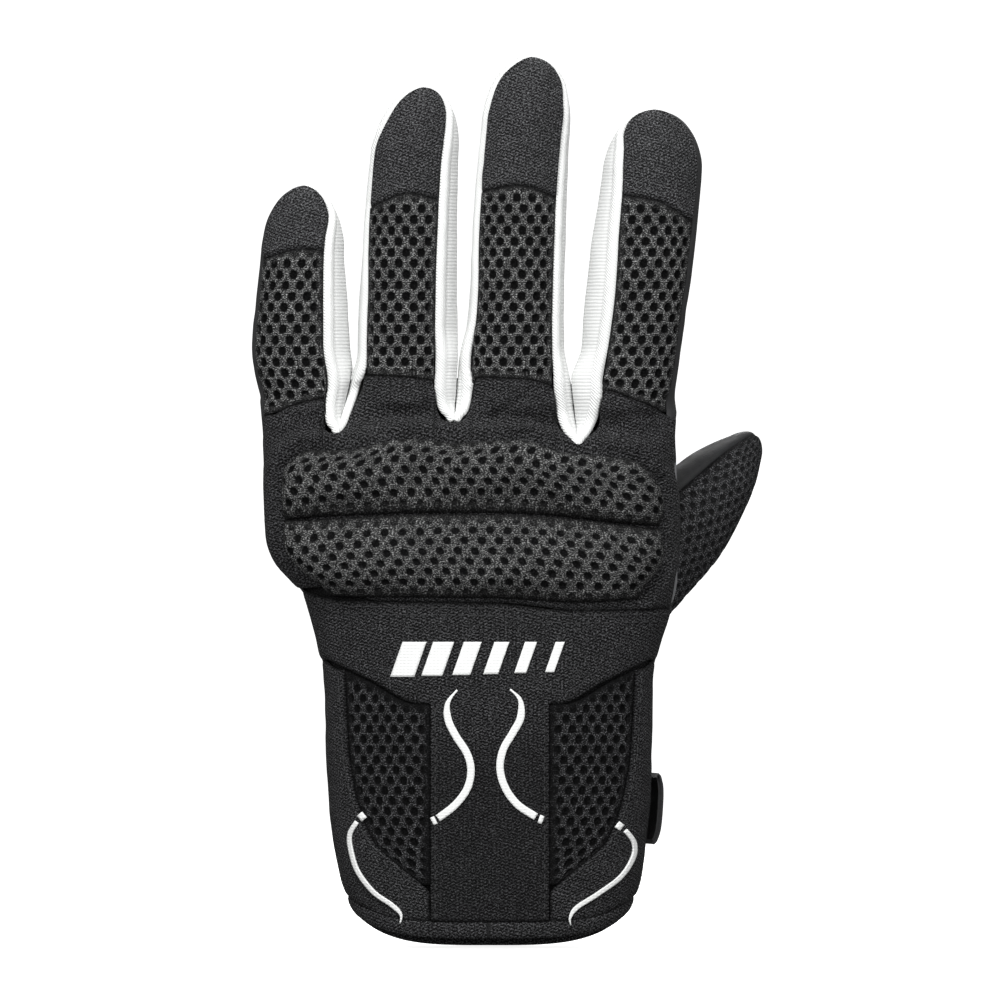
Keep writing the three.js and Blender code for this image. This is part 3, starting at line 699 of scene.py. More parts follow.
def hook_material(name, dark, light, per_mm):
    """A field of small hooks or loops."""
    f = Fabric(name)
    distance, pick = f.cells(per_mm)
    tone = f.colour(distance.ramp(0.6, 0.1) * (pick * 0.5 + 0.5), grey(dark), grey(light))
    return f.finish(tone, distance.ramp(0.7, 0.0), 0.5, 0.95, 0.1, 0.1)


def thread_material():
    """Dark twisted sewing thread."""
    f = Fabric("thread")
    twist = (f.u / 0.35 + f.v / 0.3).wave()
    return f.finish(f.colour(twist, grey(0.012), grey(0.045)), twist, 0.05, 0.7, 0.0, 0.3)


KNIT = knit_material("knit", 0.004, 0.115)
CAP_KNIT = knit_material("cap_knit", 0.007, 0.155, 0.5)
YOKE_KNIT = knit_material("yoke_knit", 0.0035, 0.108)
# The centre panel is the yoke's knit with painted shade: its tone is 0.6 below z = 46 mm, rising to full at
# 66 mm.
CENTRE_KNIT = knit_material("centre_knit", 0.0035, 0.108, painted_shade_by_height=(46, 66, 0.6, 1))
LINING = knit_material("lining", 0.003, 0.02)
# Each mesh: its name, its hole pattern, its net's tone, its holes' tone, and the width in mm of the painted
# shade on its net beside its seams.
MESH = {
    name: mesh_material(name, spec, net, gap, seam_shade)
    for name, spec, net, gap, seam_shade in (
        ("finger_mesh", FINGER_MESH, 0.19, 0.002, 2.0),
        ("pad_mesh", PAD_MESH, 0.16, 0.003, 2.0),
        ("vent_mesh", VENT_MESH, 0.07, 0.002, 3.5),
        ("thumb_mesh", THUMB_MESH, 0.115, 0.008, 2.5),
    )
}
WHITE = rib_material()
LEATHER = leather_material("leather", 0.011, 0.032)
PATCH_LEATHER = leather_material("patch_leather", 0.007, 0.02)
PRINT = print_material()
LABEL = tape_material("label", 0.55, 0.72, 0.5)
HOOK = hook_material("hook", 0.004, 0.03, 1.4)
LOOP = hook_material("loop", 0.006, 0.045, 0.9)
THREAD = thread_material()

# ---- Back of the hand ----

# Heights of the yoke's seams by x, the x of the centre panel's and vents' edges, and the hand angle
# of the seam down each side.
YOKE_TOP = through((-50, 97), (-38, 93.6), (0, 93), (22, 91), (50, 91.5))
YOKE_LOW = through((-45, 77.5), (-33, 72), (-20, 66), (20, 66), (33, 72), (45, 77.5))
CENTRE_EDGE = 15.9
VENT_OUTER = through(
    (6, 16.2), (15, 16.3), (18, 19), (24, 26), (30, 32), (43.5, 36.7), (53, 38.2), (78, 39.6)
)
SIDE = math.radians(93)
HEM_WIDTH = 4.5


def hem(angle):
    """The cuff's lower edge, which rises at both sides."""
    rise = np.abs(np.sin(angle)) ** 4
    return np.where(np.cos(angle) > 0, 3 + 6.5 * rise, 9.5 * rise)


def even_angles(start, end, z, s):
    """Hand angles whose points are evenly spaced round the section at z."""
    dense = np.linspace(start, end, 1200)
    length = distances(hand_point(dense, np.full(1200, float(z)))[None], 1)[0]
    return np.interp(s * length[-1], length, dense)


def back_points(angle, z):
    """Points on the back at hand angles: straight behind (x, z), and round the side near it."""
    rough = hand_point(angle, z)
    x = rough[..., 0]
    near_side = smooth(np.abs(np.sin(angle)), 0.965, 0.985)
    flat = drop(x, z)
    round_side, _ = settle(form, rough)
    return mix(flat, round_side, near_side[..., None])


def back_panel_points(s, t):
    angle = even_angles(-SIDE, SIDE, 140, s)
    x = hand_point(angle, np.full_like(angle, 146.0))[..., 0]
    return back_points(angle, mix(YOKE_TOP(x), PANEL_TOP(x), t))


# The knuckle guard: the seams above, between and below its two cushions, and their ends.
PAD_TOP = through(
    (-56, 131), (-50, 134), (-37, 134.4), (-22, 137.2), (-8, 136.2), (8, 136.9), (19, 133.6),
    (38, 131.6), (47, 127),
)  # fmt: skip
PAD_MIDDLE = through((-56, 115.3), (-15, 117.1), (5, 117), (44, 113.4))
PAD_LOW = through((-56, 96), (-42, 94.8), (0, 94.4), (24, 93.2), (46, 94.4))


def pad_end(x, cut, start, end, power):
    """A cushion's end at x, cut back by `cut` mm towards its corner as z goes from start to end."""
    return lambda z: x + cut * smooth(z, start, end) ** power


pad_left_upper = pad_end(-55.6, 5, 126, 135, 2)
pad_right_upper = pad_end(46.4, -5, 118, 131, 2)
pad_left_lower = pad_end(-55.6, 12, 113, 94, 1.5)
pad_right_lower = pad_end(46.4, -6, 108, 94, 1.5)
PAD_OUTLINE = np.array(
    [(x, PAD_TOP(x)) for x in np.linspace(-51, 42, 60)]
    + [(pad_right_upper(z), z) for z in np.linspace(129, 115, 12)]
    + [(pad_right_lower(z), z) for z in np.linspace(112, 95, 16)]
    + [(x, PAD_LOW(x)) for x in np.linspace(39, -43, 50)]
    + [(pad_left_lower(z), z) for z in np.linspace(96, 115, 16)]
    + [(pad_left_upper(z), z) for z in np.linspace(117, 132, 12)]
)


def tucked(place, points):
    """A finger's palm side, with its lower edge slipped under the top of the palm."""
    under = (1 - smooth(points[..., 2], 147, 150.6)) * smooth(points[..., 1], 1, 4)
    return knit_relief(place, points) - under


def folded_edge(place, points):
    """A cap's knit, with its turned-in edges a little proud beside their seams."""
    return knit_relief(place, points) + 0.4 * np.exp(-(((place[..., 2] - 1.4) / 0.7) ** 2))


def crumpled(place, points):
    """Soft cross folds between the knuckle guard and the fingers, a groove and a welt round the
    guard, and a hollow under its cushions."""
    x, z = points[..., 0], points[..., 2]
    wander = 3 * noise(along(x, z) * 0.5, 9, 5)
    folds = np.sin((z + wander) / 1.9) + noise(along(x * 0.3, z), 3.2, 6)
    flat = points[..., [0, 2]].reshape(-1, 2)
    gap = np.min([np.hypot(*(flat - corner).T) for corner in PAD_OUTLINE], axis=0).reshape(x.shape)
    welt = 0.9 * np.exp(-(((gap - 3.6) / 1.7) ** 2)) - 0.7 * np.exp(-((gap / 1.5) ** 2))
    covered = (z < PAD_TOP(x)) & (z > PAD_LOW(x))
    covered &= (x > pad_left_lower(z)) & (x < pad_right_lower(z))
    welt = np.where(covered, -0.9, welt)
    near = smooth(gap, 3, 7) * smooth(z, 130, 136) * (1 - smooth(z, 147, 153))
    near = near * smooth(x, -61, -54) * (1 - smooth(x, 43, 50))
    forks = sum(np.exp(-(((x - fork["daylight"][0]) / 7) ** 2)) for fork in FORKS)
    long_fold = np.exp(-(((z - mix(140, 151, (x + 4) / 17)) / 1.4) ** 2))
    long_fold = long_fold * smooth(x, -7, -1) * (1 - smooth(x, 8, 14))
    height = 1.15 * near * (1 - 0.75 * forks) * folds - 0.9 * long_fold
    return knit_relief(place, points) + height + welt


panel("back_panel", back_panel_points, (260, 120), KNIT, "hand", ["back_panel"], relief=crumpled,
      straight_grain=True)


def yoke_points(s, t):
    angle = even_angles(-SIDE, SIDE, 85, s)
    x = hand_point(angle, np.full_like(angle, 84.0))[..., 0]
    return hand_point(angle, mix(YOKE_LOW(x), YOKE_TOP(x), t))


# The yoke runs on into the centre panel, with no seam between them.
yoke_foot = hand_point(even_angles(-SIDE, SIDE, 85, np.linspace(0, 1, 151)), np.full(151, 70.0))
foot_seam = smooth(np.abs(yoke_foot[:, 0]), 15, 18)
panel("cuff_yoke", yoke_points, (150, 34), YOKE_KNIT, "hand", ["cuff_yoke"], relief=knit_relief,
      seams=(1, 1, foot_seam, 1), lift=0.15)


def centre_points(s, t):
    x = mix(-CENTRE_EDGE, CENTRE_EDGE, s)
    low = hem(hand_angle(x, 8.0)) + HEM_WIDTH
    z = mix(low, YOKE_LOW(x), t)
    return hand_point(hand_angle(x, z), z)


panel("cuff_centre", centre_points, (44, 80), CENTRE_KNIT, "hand", ["cuff_centre"],
      relief=knit_relief, seams=(0.3, 0.3, 0.4, 0), lift=0.15)

# The heights of each vent's lower and upper outer corners. The upper one lies on the yoke's seam.
VENT_LOW = 17.2
VENT_HIGH = 73.0
for _ in range(6):
    VENT_HIGH = YOKE_LOW(VENT_OUTER(VENT_HIGH))

for side, name in ((-1, "little"), (1, "thumb")):

    def vent_points(s, t, side=side):
        outer = s if side > 0 else 1 - s
        edge = mix(VENT_LOW, VENT_HIGH, t)
        x = mix(CENTRE_EDGE, VENT_OUTER(edge), outer)
        straight = mix(mix(VENT_LOW, YOKE_LOW(CENTRE_EDGE), t), edge, outer)
        top = mix(YOKE_LOW(CENTRE_EDGE), VENT_HIGH, outer)
        z = straight + t * (YOKE_LOW(x) - top)
        return hand_point(hand_angle(side * x, z), z)

    def flank_points(s, t, side=side):
        outer = s if side > 0 else 1 - s
        edge = mix(hem(0.35) + HEM_WIDTH, VENT_HIGH, t)
        angle = mix(hand_angle(side * VENT_OUTER(edge), edge), side * SIDE, outer)
        x = hand_point(angle, edge)[..., 0]
        bottom, top = hem(angle) + HEM_WIDTH, YOKE_LOW(x)
        z = mix(edge, mix(bottom, top, t), smooth(outer, 0, 0.5))
        return hand_point(angle, z)

    vent, flank = f"cuff_mesh_{name}_side", f"cuff_flank_{name}_side"
    panel(vent, vent_points, (62, 130), MESH["vent_mesh"], "hand", [vent],
          relief=mesh_relief(VENT_MESH, 0.5), sink=0.9)
    panel(flank, flank_points, (34, 90), YOKE_KNIT, "hand", [flank], relief=knit_relief,
          seams=(1, 1, 0.6, 1))

# ---- Fingers ----


def over_tip(dome, tip, start, t, share):
    """Heights from start up and over a fingertip, with rows of nearly even length. The first
    `share` of them are below its dome."""
    low = np.maximum(dome, start + 1)
    over = np.clip((t - share) / (1 - share), 0, 1)
    upper = low + (tip - low) * np.sin(over * math.radians(89))
    return np.where(t < share, mix(start, low, t / share), upper)


def called(rule, *at):
    """A rule's value: it is a function, or a number that is the same everywhere."""
    return rule(*at) if callable(rule) else np.full_like(at[0], rule)


def finger_panel(finger, part, edges, low, high, size, material, straight=0.5, **options):
    """A panel of one finger, between two seam angles that may follow z, and two heights that may
    follow (x, angle). Without a high one it goes over the tip."""
    f = FINGERS[finger]
    left, right = edges

    def points(s, t):
        z = mix(150.0, f["tip"], t)
        for _ in range(3):
            angle = mix(called(left, z), called(right, z), s)
            x = finger_point(f, angle, np.minimum(z, f["dome"]))[..., 0]
            start = called(low, x, angle)
            if high is None:
                z = over_tip(f["dome"], f["tip"], start, t, straight)
            else:
                z = mix(start, called(high, x, angle), t)
        return finger_point(f, mix(called(left, z), called(right, z), s), z)

    name = f"{finger}_{part}"
    piece = panel(name, points, size, material, nodes=[name], **options)
    if part.endswith("lower"):
        bodies, span = ("hand", f"{finger}_base"), f["knuckle"]
    else:
        bodies, span = (f"{finger}_base", f"{finger}_tip"), f["middle"]
    middle = f["centre"](170)
    bend(piece, bodies, *((middle, 0, z) for z in span))


def straight_share(f):
    """The share of rows below a fingertip's dome in a panel from its knuckle over its tip."""
    return (f["dome"] - f["knuckle"][1]) / (f["tip"] - f["knuckle"][1] + 6)


# The share of a white strip's width that rolls over the edge of its fork.
LIP = 0.4


def rolled(place, points):
    """A white strip's smooth outer band, with a pressed line inside it."""
    u = np.abs(place[..., 0])
    band = 0.45 * np.exp(-(((u - 1.7) / 1.3) ** 2)) - 0.12 * np.exp(-(((u - 3.5) / 0.5) ** 2))
    return band + 0.12 * noise(points, 5, 9)


def white_strip(name, side, fork):
    """One finger's half of a fork's white side, in two pieces. Below the daylight between the
    fingers the two halves press together, and only their rolled lips and a slit show."""
    f = FINGERS[name]
    seam = f[side]
    right = side == "right"
    front = f["front"][0] if right else f["front"][1] - 360
    split = f["knuckle"][1]
    notch = fork["notch"]
    bottom = min(notch, key=lambda p: p[1])
    edge_x = np.linspace(bottom[0], notch[0][0] if right else notch[-1][0], 80)
    edge_z = PANEL_TOP(edge_x)
    above = np.linspace(edge_z[-1] + 0.3, f["tip"], 60)
    edge_x = np.concatenate([edge_x, finger_point(f, seam(above), above)[:, 0]])
    edge_z = np.concatenate([edge_z, above])
    even = np.linspace(bottom[1], f["tip"], 400)
    edge_x = np.mean([np.interp(even + k, edge_z, edge_x) for k in (-1.5, 0, 1.5)], axis=0)
    daylight = fork["daylight"]
    tag = "thumb_side" if right else "little_side"
    toward = 1 if right else -1

    def lower(s, t):
        v = s if right else 1 - s
        z = mix(bottom[1] + 0.05, split, t**1.25)
        x = np.interp(z, even, edge_x)
        start = drop(x[:, 0], z[:, 0])[:, None] + 0 * along(s, s, s)
        opening = smooth(z, bottom[1] + 0.8, bottom[1] + 5)
        slit = np.interp(z, [bottom[1], daylight[1]], [bottom[0], daylight[0]])
        slit = slit - 0.08 * toward * opening
        roll = np.clip(0.9 * np.abs(slit - x), 0.6, 4.5) * (0.06 + 0.94 * opening)
        turn = np.clip(v / LIP, 0, 1) * math.pi / 2
        deep = np.clip((v - LIP) / (1 - LIP), 0, 1)
        end = finger_point(f, np.full_like(z, front), z)
        closed_x = mix(x, slit, np.sin(turn)) + (end[..., 0] - slit) * deep**3
        closed_y = start[..., 1] + roll * (1 - np.cos(turn))
        closed = along(closed_x, mix(closed_y, end[..., 1], deep), z)
        free, _ = settle(form, finger_point(f, mix(seam(z), front, v), z))
        return mix(closed, free, smooth(z, daylight[1] - 2, daylight[1] + 8)[..., None])

    common = dict(origin=0 if right else 1, relief=rolled, sink=0.8, roll=1.2)
    common["seams"] = (1, 0, 0, 0) if right else (0, 1, 0, 0)
    node = f"{name}_{tag}_lower"
    web = ["_".join([*fork["fingers"], "web"])] if right else []
    low = panel(node, lower, (44, 70), WHITE, nodes=[*web, node], facing=(toward, 0, 0), **common)
    bend(low, ("hand", f"{name}_base"), (0, 0, f["knuckle"][0]), (0, 0, split))
    finger_panel(name, f"{tag}_upper", (seam, front) if right else (front, seam), split, None,
                 (44, 90), WHITE, straight_share(f), **common)


for name, f in FINGERS.items():
    split = f["knuckle"][1]
    back, front = (f["left"], f["right"]), f["front"]

    def hand_seam(x, angle):
        return PANEL_TOP(x)

    def cap_seam(x, angle, f=f):
        return f["cap"](x)

    def palm_seam(x, angle, name=name):
        """Level across the palm, and dropping to meet the back of the hand at the glove's sides."""
        outer = {"index": 1 - smooth(angle, 84, 97), "little": smooth(angle, 263, 276)}
        return 146.5 - 4.7 * outer.get(name, 0 * angle)

    mesh = dict(material=MESH["finger_mesh"], relief=mesh_relief(FINGER_MESH))
    finger_panel(name, "mesh_lower", back, hand_seam, split, (54, 40), seams=(1, 1, 1, 0), **mesh)
    finger_panel(name, "mesh_upper", back, split, cap_seam, (54, 90), seams=(1, 1, 0, 1), **mesh)
    finger_panel(name, "cap", back, cap_seam, None, (50, 70), CAP_KNIT, 0.45,
                 seams=(1, 1, 1, 0), relief=folded_edge)
    finger_panel(name, "front_lower", front, palm_seam, split, (44, 30), LEATHER,
                 seams=(1, 1, 0.8, 0), relief=tucked)
    finger_panel(name, "front_upper", front, split, None, (40, 90), LEATHER, straight_share(f),
                 seams=(1, 1, 0, 0), relief=knit_relief)

# The left strip of each fork also stands for its web.
for fork in FORKS:
    for name, side in zip(fork["fingers"], ("right", "left")):
        white_strip(name, side, fork)

# ---- Thumb ----


def crease_height(degrees):
    """The height at which a line along the thumb, at an angle round it, leaves the hand."""
    low, high = np.full(degrees.shape, -18.0), np.full(degrees.shape, 30.0)
    for _ in range(20):
        middle = (low + high) / 2
        out = form(thumb_point(degrees, middle)) > 0
        low, high = np.where(out, low, middle), np.where(out, middle, high)
    return (low + high) / 2 - 0.6


def thumb_place(points):
    """Round the thumb and along it, in mm, for an even fabric pattern."""
    q = points - THUMB_BASE
    turn = np.arctan2(q @ THUMB_SIDE, q @ -THUMB_FLEX)
    turn = np.where(turn < math.radians(-THUMB_EDGE - 5), turn + 2 * math.pi, turn)
    return turn * 12.5, q @ THUMB_AXIS


for part, start, end, material in (
    ("mesh", -THUMB_EDGE, THUMB_EDGE, MESH["thumb_mesh"]),
    ("front", THUMB_EDGE, 360 - THUMB_EDGE, LEATHER),
):

    def low_points(s, t, start=start, end=end):
        degrees = mix(start, end, s)
        return thumb_point(degrees, mix(crease_height(degrees), THUMB_SPLIT, t))

    def high_points(s, t, start=start, end=end):
        degrees = mix(start, end, s)
        return thumb_point(degrees, over_tip(THUMB_DOME, THUMB_LENGTH, THUMB_SPLIT, t, 0.35))

    common = dict(field=thumb_form, cloth_place=thumb_place)
    common["relief"] = mesh_relief(THUMB_MESH, 0.45) if part == "mesh" else knit_relief
    low_nodes = [f"thumb_{part}_lower"] + (["thumb_gusset"] if part == "front" else [])
    low = panel(f"thumb_{part}_low", low_points, (70, 70), material, nodes=low_nodes,
                seams=(1, 1, 0.6, 0), **common)
    high = panel(f"thumb_{part}_high", high_points, (70, 76), material,
                 nodes=[f"thumb_{part}_upper"], seams=(1, 1, 0, 0), **common)
    for piece, bodies, span in (
        (low, ("hand", "thumb_base"), (THUMB_HINGE - 4, THUMB_HINGE + 8)),
        (high, ("thumb_base", "thumb_tip"), (THUMB_JOINT - 8, THUMB_JOINT + 5)),
    ):
        bend(piece, bodies, *(THUMB_BASE + height * THUMB_AXIS for height in span))

# ---- Knuckle guard ----


def finer(grid, rows, columns):
    """A grid of points resampled to more rows and columns through smooth cubic curves."""
    for axis, count in ((0, rows), (1, columns)):
        grid = np.moveaxis(grid, axis, 0)
        last = max(len(grid) - 1, 1)
        at = np.linspace(0, last, count + 1)
        i = np.clip(at.astype(int), 0, last - 1)
        f = (at - i)[:, None, None]
        p0, p1, p2, p3 = (grid[np.clip(i + k, 0, len(grid) - 1)] for k in (-1, 0, 1, 2))
        curve = (2 * p0 - 5 * p1 + 4 * p2 - p3) * f**2 + (3 * p1 - p0 - 3 * p2 + p3) * f**3
        grid = np.moveaxis(p1 + 0.5 * ((p2 - p0) * f + curve), 0, axis)
    return grid


def inflate(points, cap=2.2):
    """Blows a grid of cloth up with Blender's cloth solver, with its border pinned down. No point
    moves more than `cap` mm, and the result is smoothed a little."""
    rows, columns = points.shape[0] - 1, points.shape[1] - 1
    flat = points.reshape(-1, 3)
    cover = make_object("cloth_cover", flat, flat * 0, grid_faces(rows, columns), MESH["pad_mesh"])
    pins = cover.vertex_groups.new(name="pins")
    index = np.arange(flat.shape[0]).reshape(points.shape[:2])
    border = np.concatenate([index[0], index[-1], index[:, 0], index[:, -1]])
    pins.add([int(i) for i in np.unique(border)], 1.0, "REPLACE")
    cloth = cover.modifiers.new("cloth", "CLOTH")
    cloth.settings.quality = 8
    cloth.settings.mass = 0.15
    cloth.settings.tension_stiffness = cloth.settings.compression_stiffness = 20
    cloth.settings.shear_stiffness = 8
    cloth.settings.bending_stiffness = 5
    cloth.settings.shrink_min = -0.015
    cloth.settings.vertex_group_mass = "pins"
    cloth.settings.use_pressure = True
    cloth.settings.uniform_pressure_force = 4
    cloth.settings.effector_weights.gravity = 0
    cloth.collision_settings.use_collision = False
    scene = bpy.context.scene
    for number in range(1, 21):
        scene.frame_set(number)
    solved = cover.evaluated_get(bpy.context.evaluated_depsgraph_get()).to_mesh()
    moved = np.empty(flat.size, np.float32)
    solved.vertices.foreach_get("co", moved)
    moved = moved.reshape(points.shape) / MM - points
    scene.frame_set(1)
    bpy.data.objects.remove(cover)
    length = np.linalg.norm(moved, axis=-1, keepdims=True)
    moved = moved * np.minimum(1, cap / np.clip(length, 1e-6, None))
    for _ in range(2):
        moved[1:-1, 1:-1] = (moved[1:-1, 1:-1] * 2 + moved[:-2, 1:-1] + moved[2:, 1:-1]
                             + moved[1:-1, :-2] + moved[1:-1, 2:]) / 6
    return points + moved


def cushion(name, left, right, low, high, crown, columns, rows):
    """A mesh-covered cushion between two ends and two seams, `crown` mm above its sunk edges."""

    def lay(columns, rows):
        s, t = np.meshgrid(np.linspace(0, 1, columns + 1), np.linspace(0, 1, rows + 1))
        z = mix(low(-5.0), high(-5.0), t) + 0 * s
        for _ in range(3):
            x = mix(left(z), right(z), s)
            z = mix(low(x), high(x), t)
        base = drop(x, z)
        _, normals = settle(form, base, 1)
        across, up = distances(base, 1), distances(base, 0)
        end_gap = np.minimum(across, across[:, -1:] - across)
        side_gap = np.minimum(up, up[-1:] - up)
        ends = np.sqrt(1 - np.clip(1 - end_gap / 10, 0, 1) ** 2.2)
        sides = np.sqrt(1 - np.clip(1 - side_gap / (up[-1:] * 0.5), 0, 1) ** 2.3)
        follow = (up / up[-1:]) * np.mean(up[-1])
        centre = np.take(across, [columns // 2], axis=1)
        place = along(across - centre, follow, np.minimum(np.minimum(end_gap, side_gap), 20))
        return base + normals * (-0.9 + crown * ends * sides)[..., None], place

    points, place = lay(columns, rows)
    coarse, _ = lay(columns // 4, rows // 4)
    points = points + finer(inflate(coarse) - coarse, rows, columns)
    normals = grid_normals(points, (0, -1, 0))
    dimples = holes(place, **PAD_MESH) * smooth(place[..., 2], 1.0, 3.4)
    points = points + normals * (0.3 * noise(points, 11, 12) - 0.62 * dimples)[..., None]
    piece = make_object(f"knuckle_cushion_{name}", points, place, grid_faces(rows, columns),
                        MESH["pad_mesh"], "hand")
    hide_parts(f"knuckle_cover_{name}", f"knuckle_foam_{name}")


def above_middle(x):
    return PAD_MIDDLE(x) + 0.1


def below_middle(x):
    return PAD_MIDDLE(x) - 0.1


cushion("upper", pad_left_upper, pad_right_upper, above_middle, PAD_TOP, 6.0, 250, 56)
cushion("lower", pad_left_lower, pad_right_lower, PAD_LOW, below_middle, 6.4, 250, 60)

# ---- Palm side ----

# The heights between which the wrist is gathered, on the palm side only.
ELASTIC = (55.5, 76.0)


def palm_relief(place, points):
    """Soft leather with shallow creases where the palm folds."""
    x, z = points[..., 0], points[..., 2]
    creases = 0
    for low, high, bow in ((112, 132, 9), (124, 141, -5), (88, 118, 14)):
        line = mix(low, high, (x + 50) / 95) + bow * np.sin((x + 50) / 95 * math.pi)
        creases = creases - 0.45 * np.exp(-(((z - line) / 1.3) ** 2)) * smooth(x, -46, -30)
    return knit_relief(place, points) + creases + 0.25 * noise(points, 20, 41)


def palm_angles(z, s):
    """Hand angles round the palm side, from seam to seam, evenly spaced at a height."""
    return even_angles(SIDE, 2 * math.pi - SIDE, z, s)


def palm_points(s, t):
    """The palm up to the fingers, where it tucks over the forks."""
    angle = palm_angles(120, s)
    points = hand_point(angle, mix(ELASTIC[1], 150.0, t))
    near = sum(np.exp(-(((points[..., 0] - fork["daylight"][0]) / 3.6) ** 2)) for fork in FORKS)
    tuck = near * smooth(t, 0.94, 1)
    return points + along(0 * tuck, -6.5 * tuck, 3.4 * tuck)


def elastic_points(s, t):
    return hand_point(palm_angles(65, s), mix(*ELASTIC, t))


def cuff_palm_points(s, t):
    angle = palm_angles(40, s)
    return hand_point(angle, mix(hem(angle) + HEM_WIDTH, ELASTIC[0], t))


def gathers(place, points):
    """Fabric gathered between rows of elastic."""
    u, v = place[..., 0], place[..., 1]
    rows = np.abs(np.sin(math.pi * (v - ELASTIC[0]) / 5.1))
    ripple = np.sin(u * 2.1 + 1.5 * noise(along(u, v), 5, 21))
    return -0.5 + 0.55 * rows * (0.6 + 0.4 * ripple)


for name, points, size, material, relief, seams in (
    ("palm_panel", palm_points, (150, 110), LEATHER, palm_relief, (1, 1, 1, 0.8)),
    ("wrist_elastic", elastic_points, (220, 44), KNIT, gathers, (1, 1, 1, 1)),
    ("cuff_palm", cuff_palm_points, (100, 50), KNIT, knit_relief, (1, 1, 0.6, 1)),
):
    panel(name, points, size, material, "hand", [name], relief=relief, seams=seams)

# The padded patch: its face's y, its middle (x, z), and half its width.
PATCH_PLANE = 21.6
PATCH_CENTRE = (-22, 98)
PATCH_HALF = 17


def palm_patch(cells=70):
    """A flat-topped padded square with rounded corners, and a line pressed inside its edge."""
    shares = np.linspace(-1, 1, cells + 1)
    u, v = np.meshgrid(shares, shares)
    corner = np.sqrt(1 - (u * v) ** 2 * 0.35)
    x, z = PATCH_CENTRE[0] - PATCH_HALF * u * corner, PATCH_CENTRE[1] + PATCH_HALF * v * corner
    base = hand_point(math.pi - hand_angle(x, z), z)
    gap = PATCH_HALF * np.minimum(1 - np.abs(u), 1 - np.abs(v))
    top = np.sqrt(1 - np.clip(1 - gap / 3.5, 0, 1) ** 2)
    y = mix(base[..., 1] - 0.3, PATCH_PLANE, top) - 0.5 * np.exp(-(((gap - 4.6) / 0.5) ** 2))
    piece = make_object("palm_patch", along(x, y, z), along(-x, z, gap), grid_faces(cells, cells),
                        PATCH_LEATHER, "hand")
    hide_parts("palm_patch")


palm_patch()

# ---- Hem, lining, strap and label ----


def cuff_binding(around=220, profile=14):
    """A closed roll of knit that follows the cuff's lower edge."""
    circles = (np.linspace(0, 2 * math.pi, count + 1)[:-1] for count in (around, profile))
    angle, turn = np.meshgrid(*circles, indexing="ij")
    z = hem(angle) + HEM_WIDTH * (0.5 - 0.5 * np.cos(turn))
    base = hand_point(angle, z)
    ahead = hand_point(angle + 0.01, z) - hand_point(angle - 0.01, z)
    out = np.cross(ahead, (0, 0, 1))
    out /= np.linalg.norm(out, axis=-1, keepdims=True)
    lift = -0.75 + 0.85 * np.sin(turn) + 0.08 * noise(base, 3, 30)
    points = base + out * lift[..., None]
    length = distances(hand_point(angle[:, 0], z[:, 0])[None], 1)[0][:, None] + 0 * turn
    place = along(length, z, np.full_like(z, 9.0))
    faces = grid_faces(around, profile, closed=True)[:, ::-1] % (around * profile)
    piece = make_object("cuff_binding", points, place, faces, KNIT, "hand")
    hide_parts("cuff_binding")


cuff_binding()


def lining_points(s, t):
    angle = mix(-math.pi, math.pi, s)
    return hand_point(angle, mix(hem(angle) + 2, 132.0, t))


panel("lining", lining_points, (120, 60), LINING, "hand", seams=(0, 0, 0, 0), lift=-1.7,
      thickness=0.3, settled=3)

# The strap's heights, and the hand angles in degrees of its root and its free end.
STRAP = dict(low=28, high=47, start=86, end=236)


def strap_points(s, t):
    """The strap round the palm side, with its free end's corners cut back."""
    z = mix(STRAP["low"], STRAP["high"], t)
    v = 2 * t - 1
    reach = s * (1 - 0.035 * smooth(s, 0.8, 1) * v**4)
    return hand_point(np.radians(mix(STRAP["start"], STRAP["end"], reach)), z)


def strap_relief(place, points):
    """The strap stands further off the cuff away from its root, and bows outwards along its middle,
    inside a pressed line that follows its edge."""
    rise = mix(3.1, 4.9, smooth(steps(150), 0.02, 0.3))
    middle, half = (STRAP["low"] + STRAP["high"]) / 2, (STRAP["high"] - STRAP["low"]) / 2
    bow = 0.5 - 1.2 * ((points[..., 2] - middle) / half) ** 4
    return rise + bow - 0.25 * np.exp(-(((place[..., 2] - 1.8) / 0.35) ** 2))


def sector(start, end, low, high):
    """Points round the hand between two angles in degrees and two heights."""
    return lambda s, t: hand_point(np.radians(mix(start, end, s)), mix(low, high, t))


wrapped = dict(roll=1.0, sink=0.4, settled=3)
panel("strap", strap_points, (150, 30), LEATHER, "wrist_strap", ["strap"], relief=strap_relief,
      thickness=1.4, **wrapped)
panel("hook_patch", sector(192, 230, STRAP["low"] + 2, STRAP["high"] - 2), (60, 24), HOOK,
      "wrist_strap", ["hook_patch"], lift=2.3, thickness=0.5, **wrapped)
panel("loop_patch", sector(176, 243, STRAP["low"] + 1, STRAP["high"] - 1), (90, 28), LOOP,
      "hand", ["loop_patch"], lift=1.2, thickness=0.8, **wrapped)
panel("size_label", sector(12, -12, 14, 30), (20, 18), LABEL, "hand", ["size_label"],
      seams=(0, 0, 0, 0), lift=-2.3, thickness=0.2, settled=3)

# ---- Prints and stitching ----


def resample(path, gap):
    """A smooth path through (x, z) points, in steps of about `gap` mm."""
    path = finer(np.array(path, float)[None], 0, 12 * len(path))[0]
    knots = distances(path[None], 1)[0]
    at = np.linspace(0, knots[-1], max(2, round(knots[-1] / gap)) + 1)
    return np.stack([np.interp(at, knots, path[:, k]) for k in range(2)], -1)


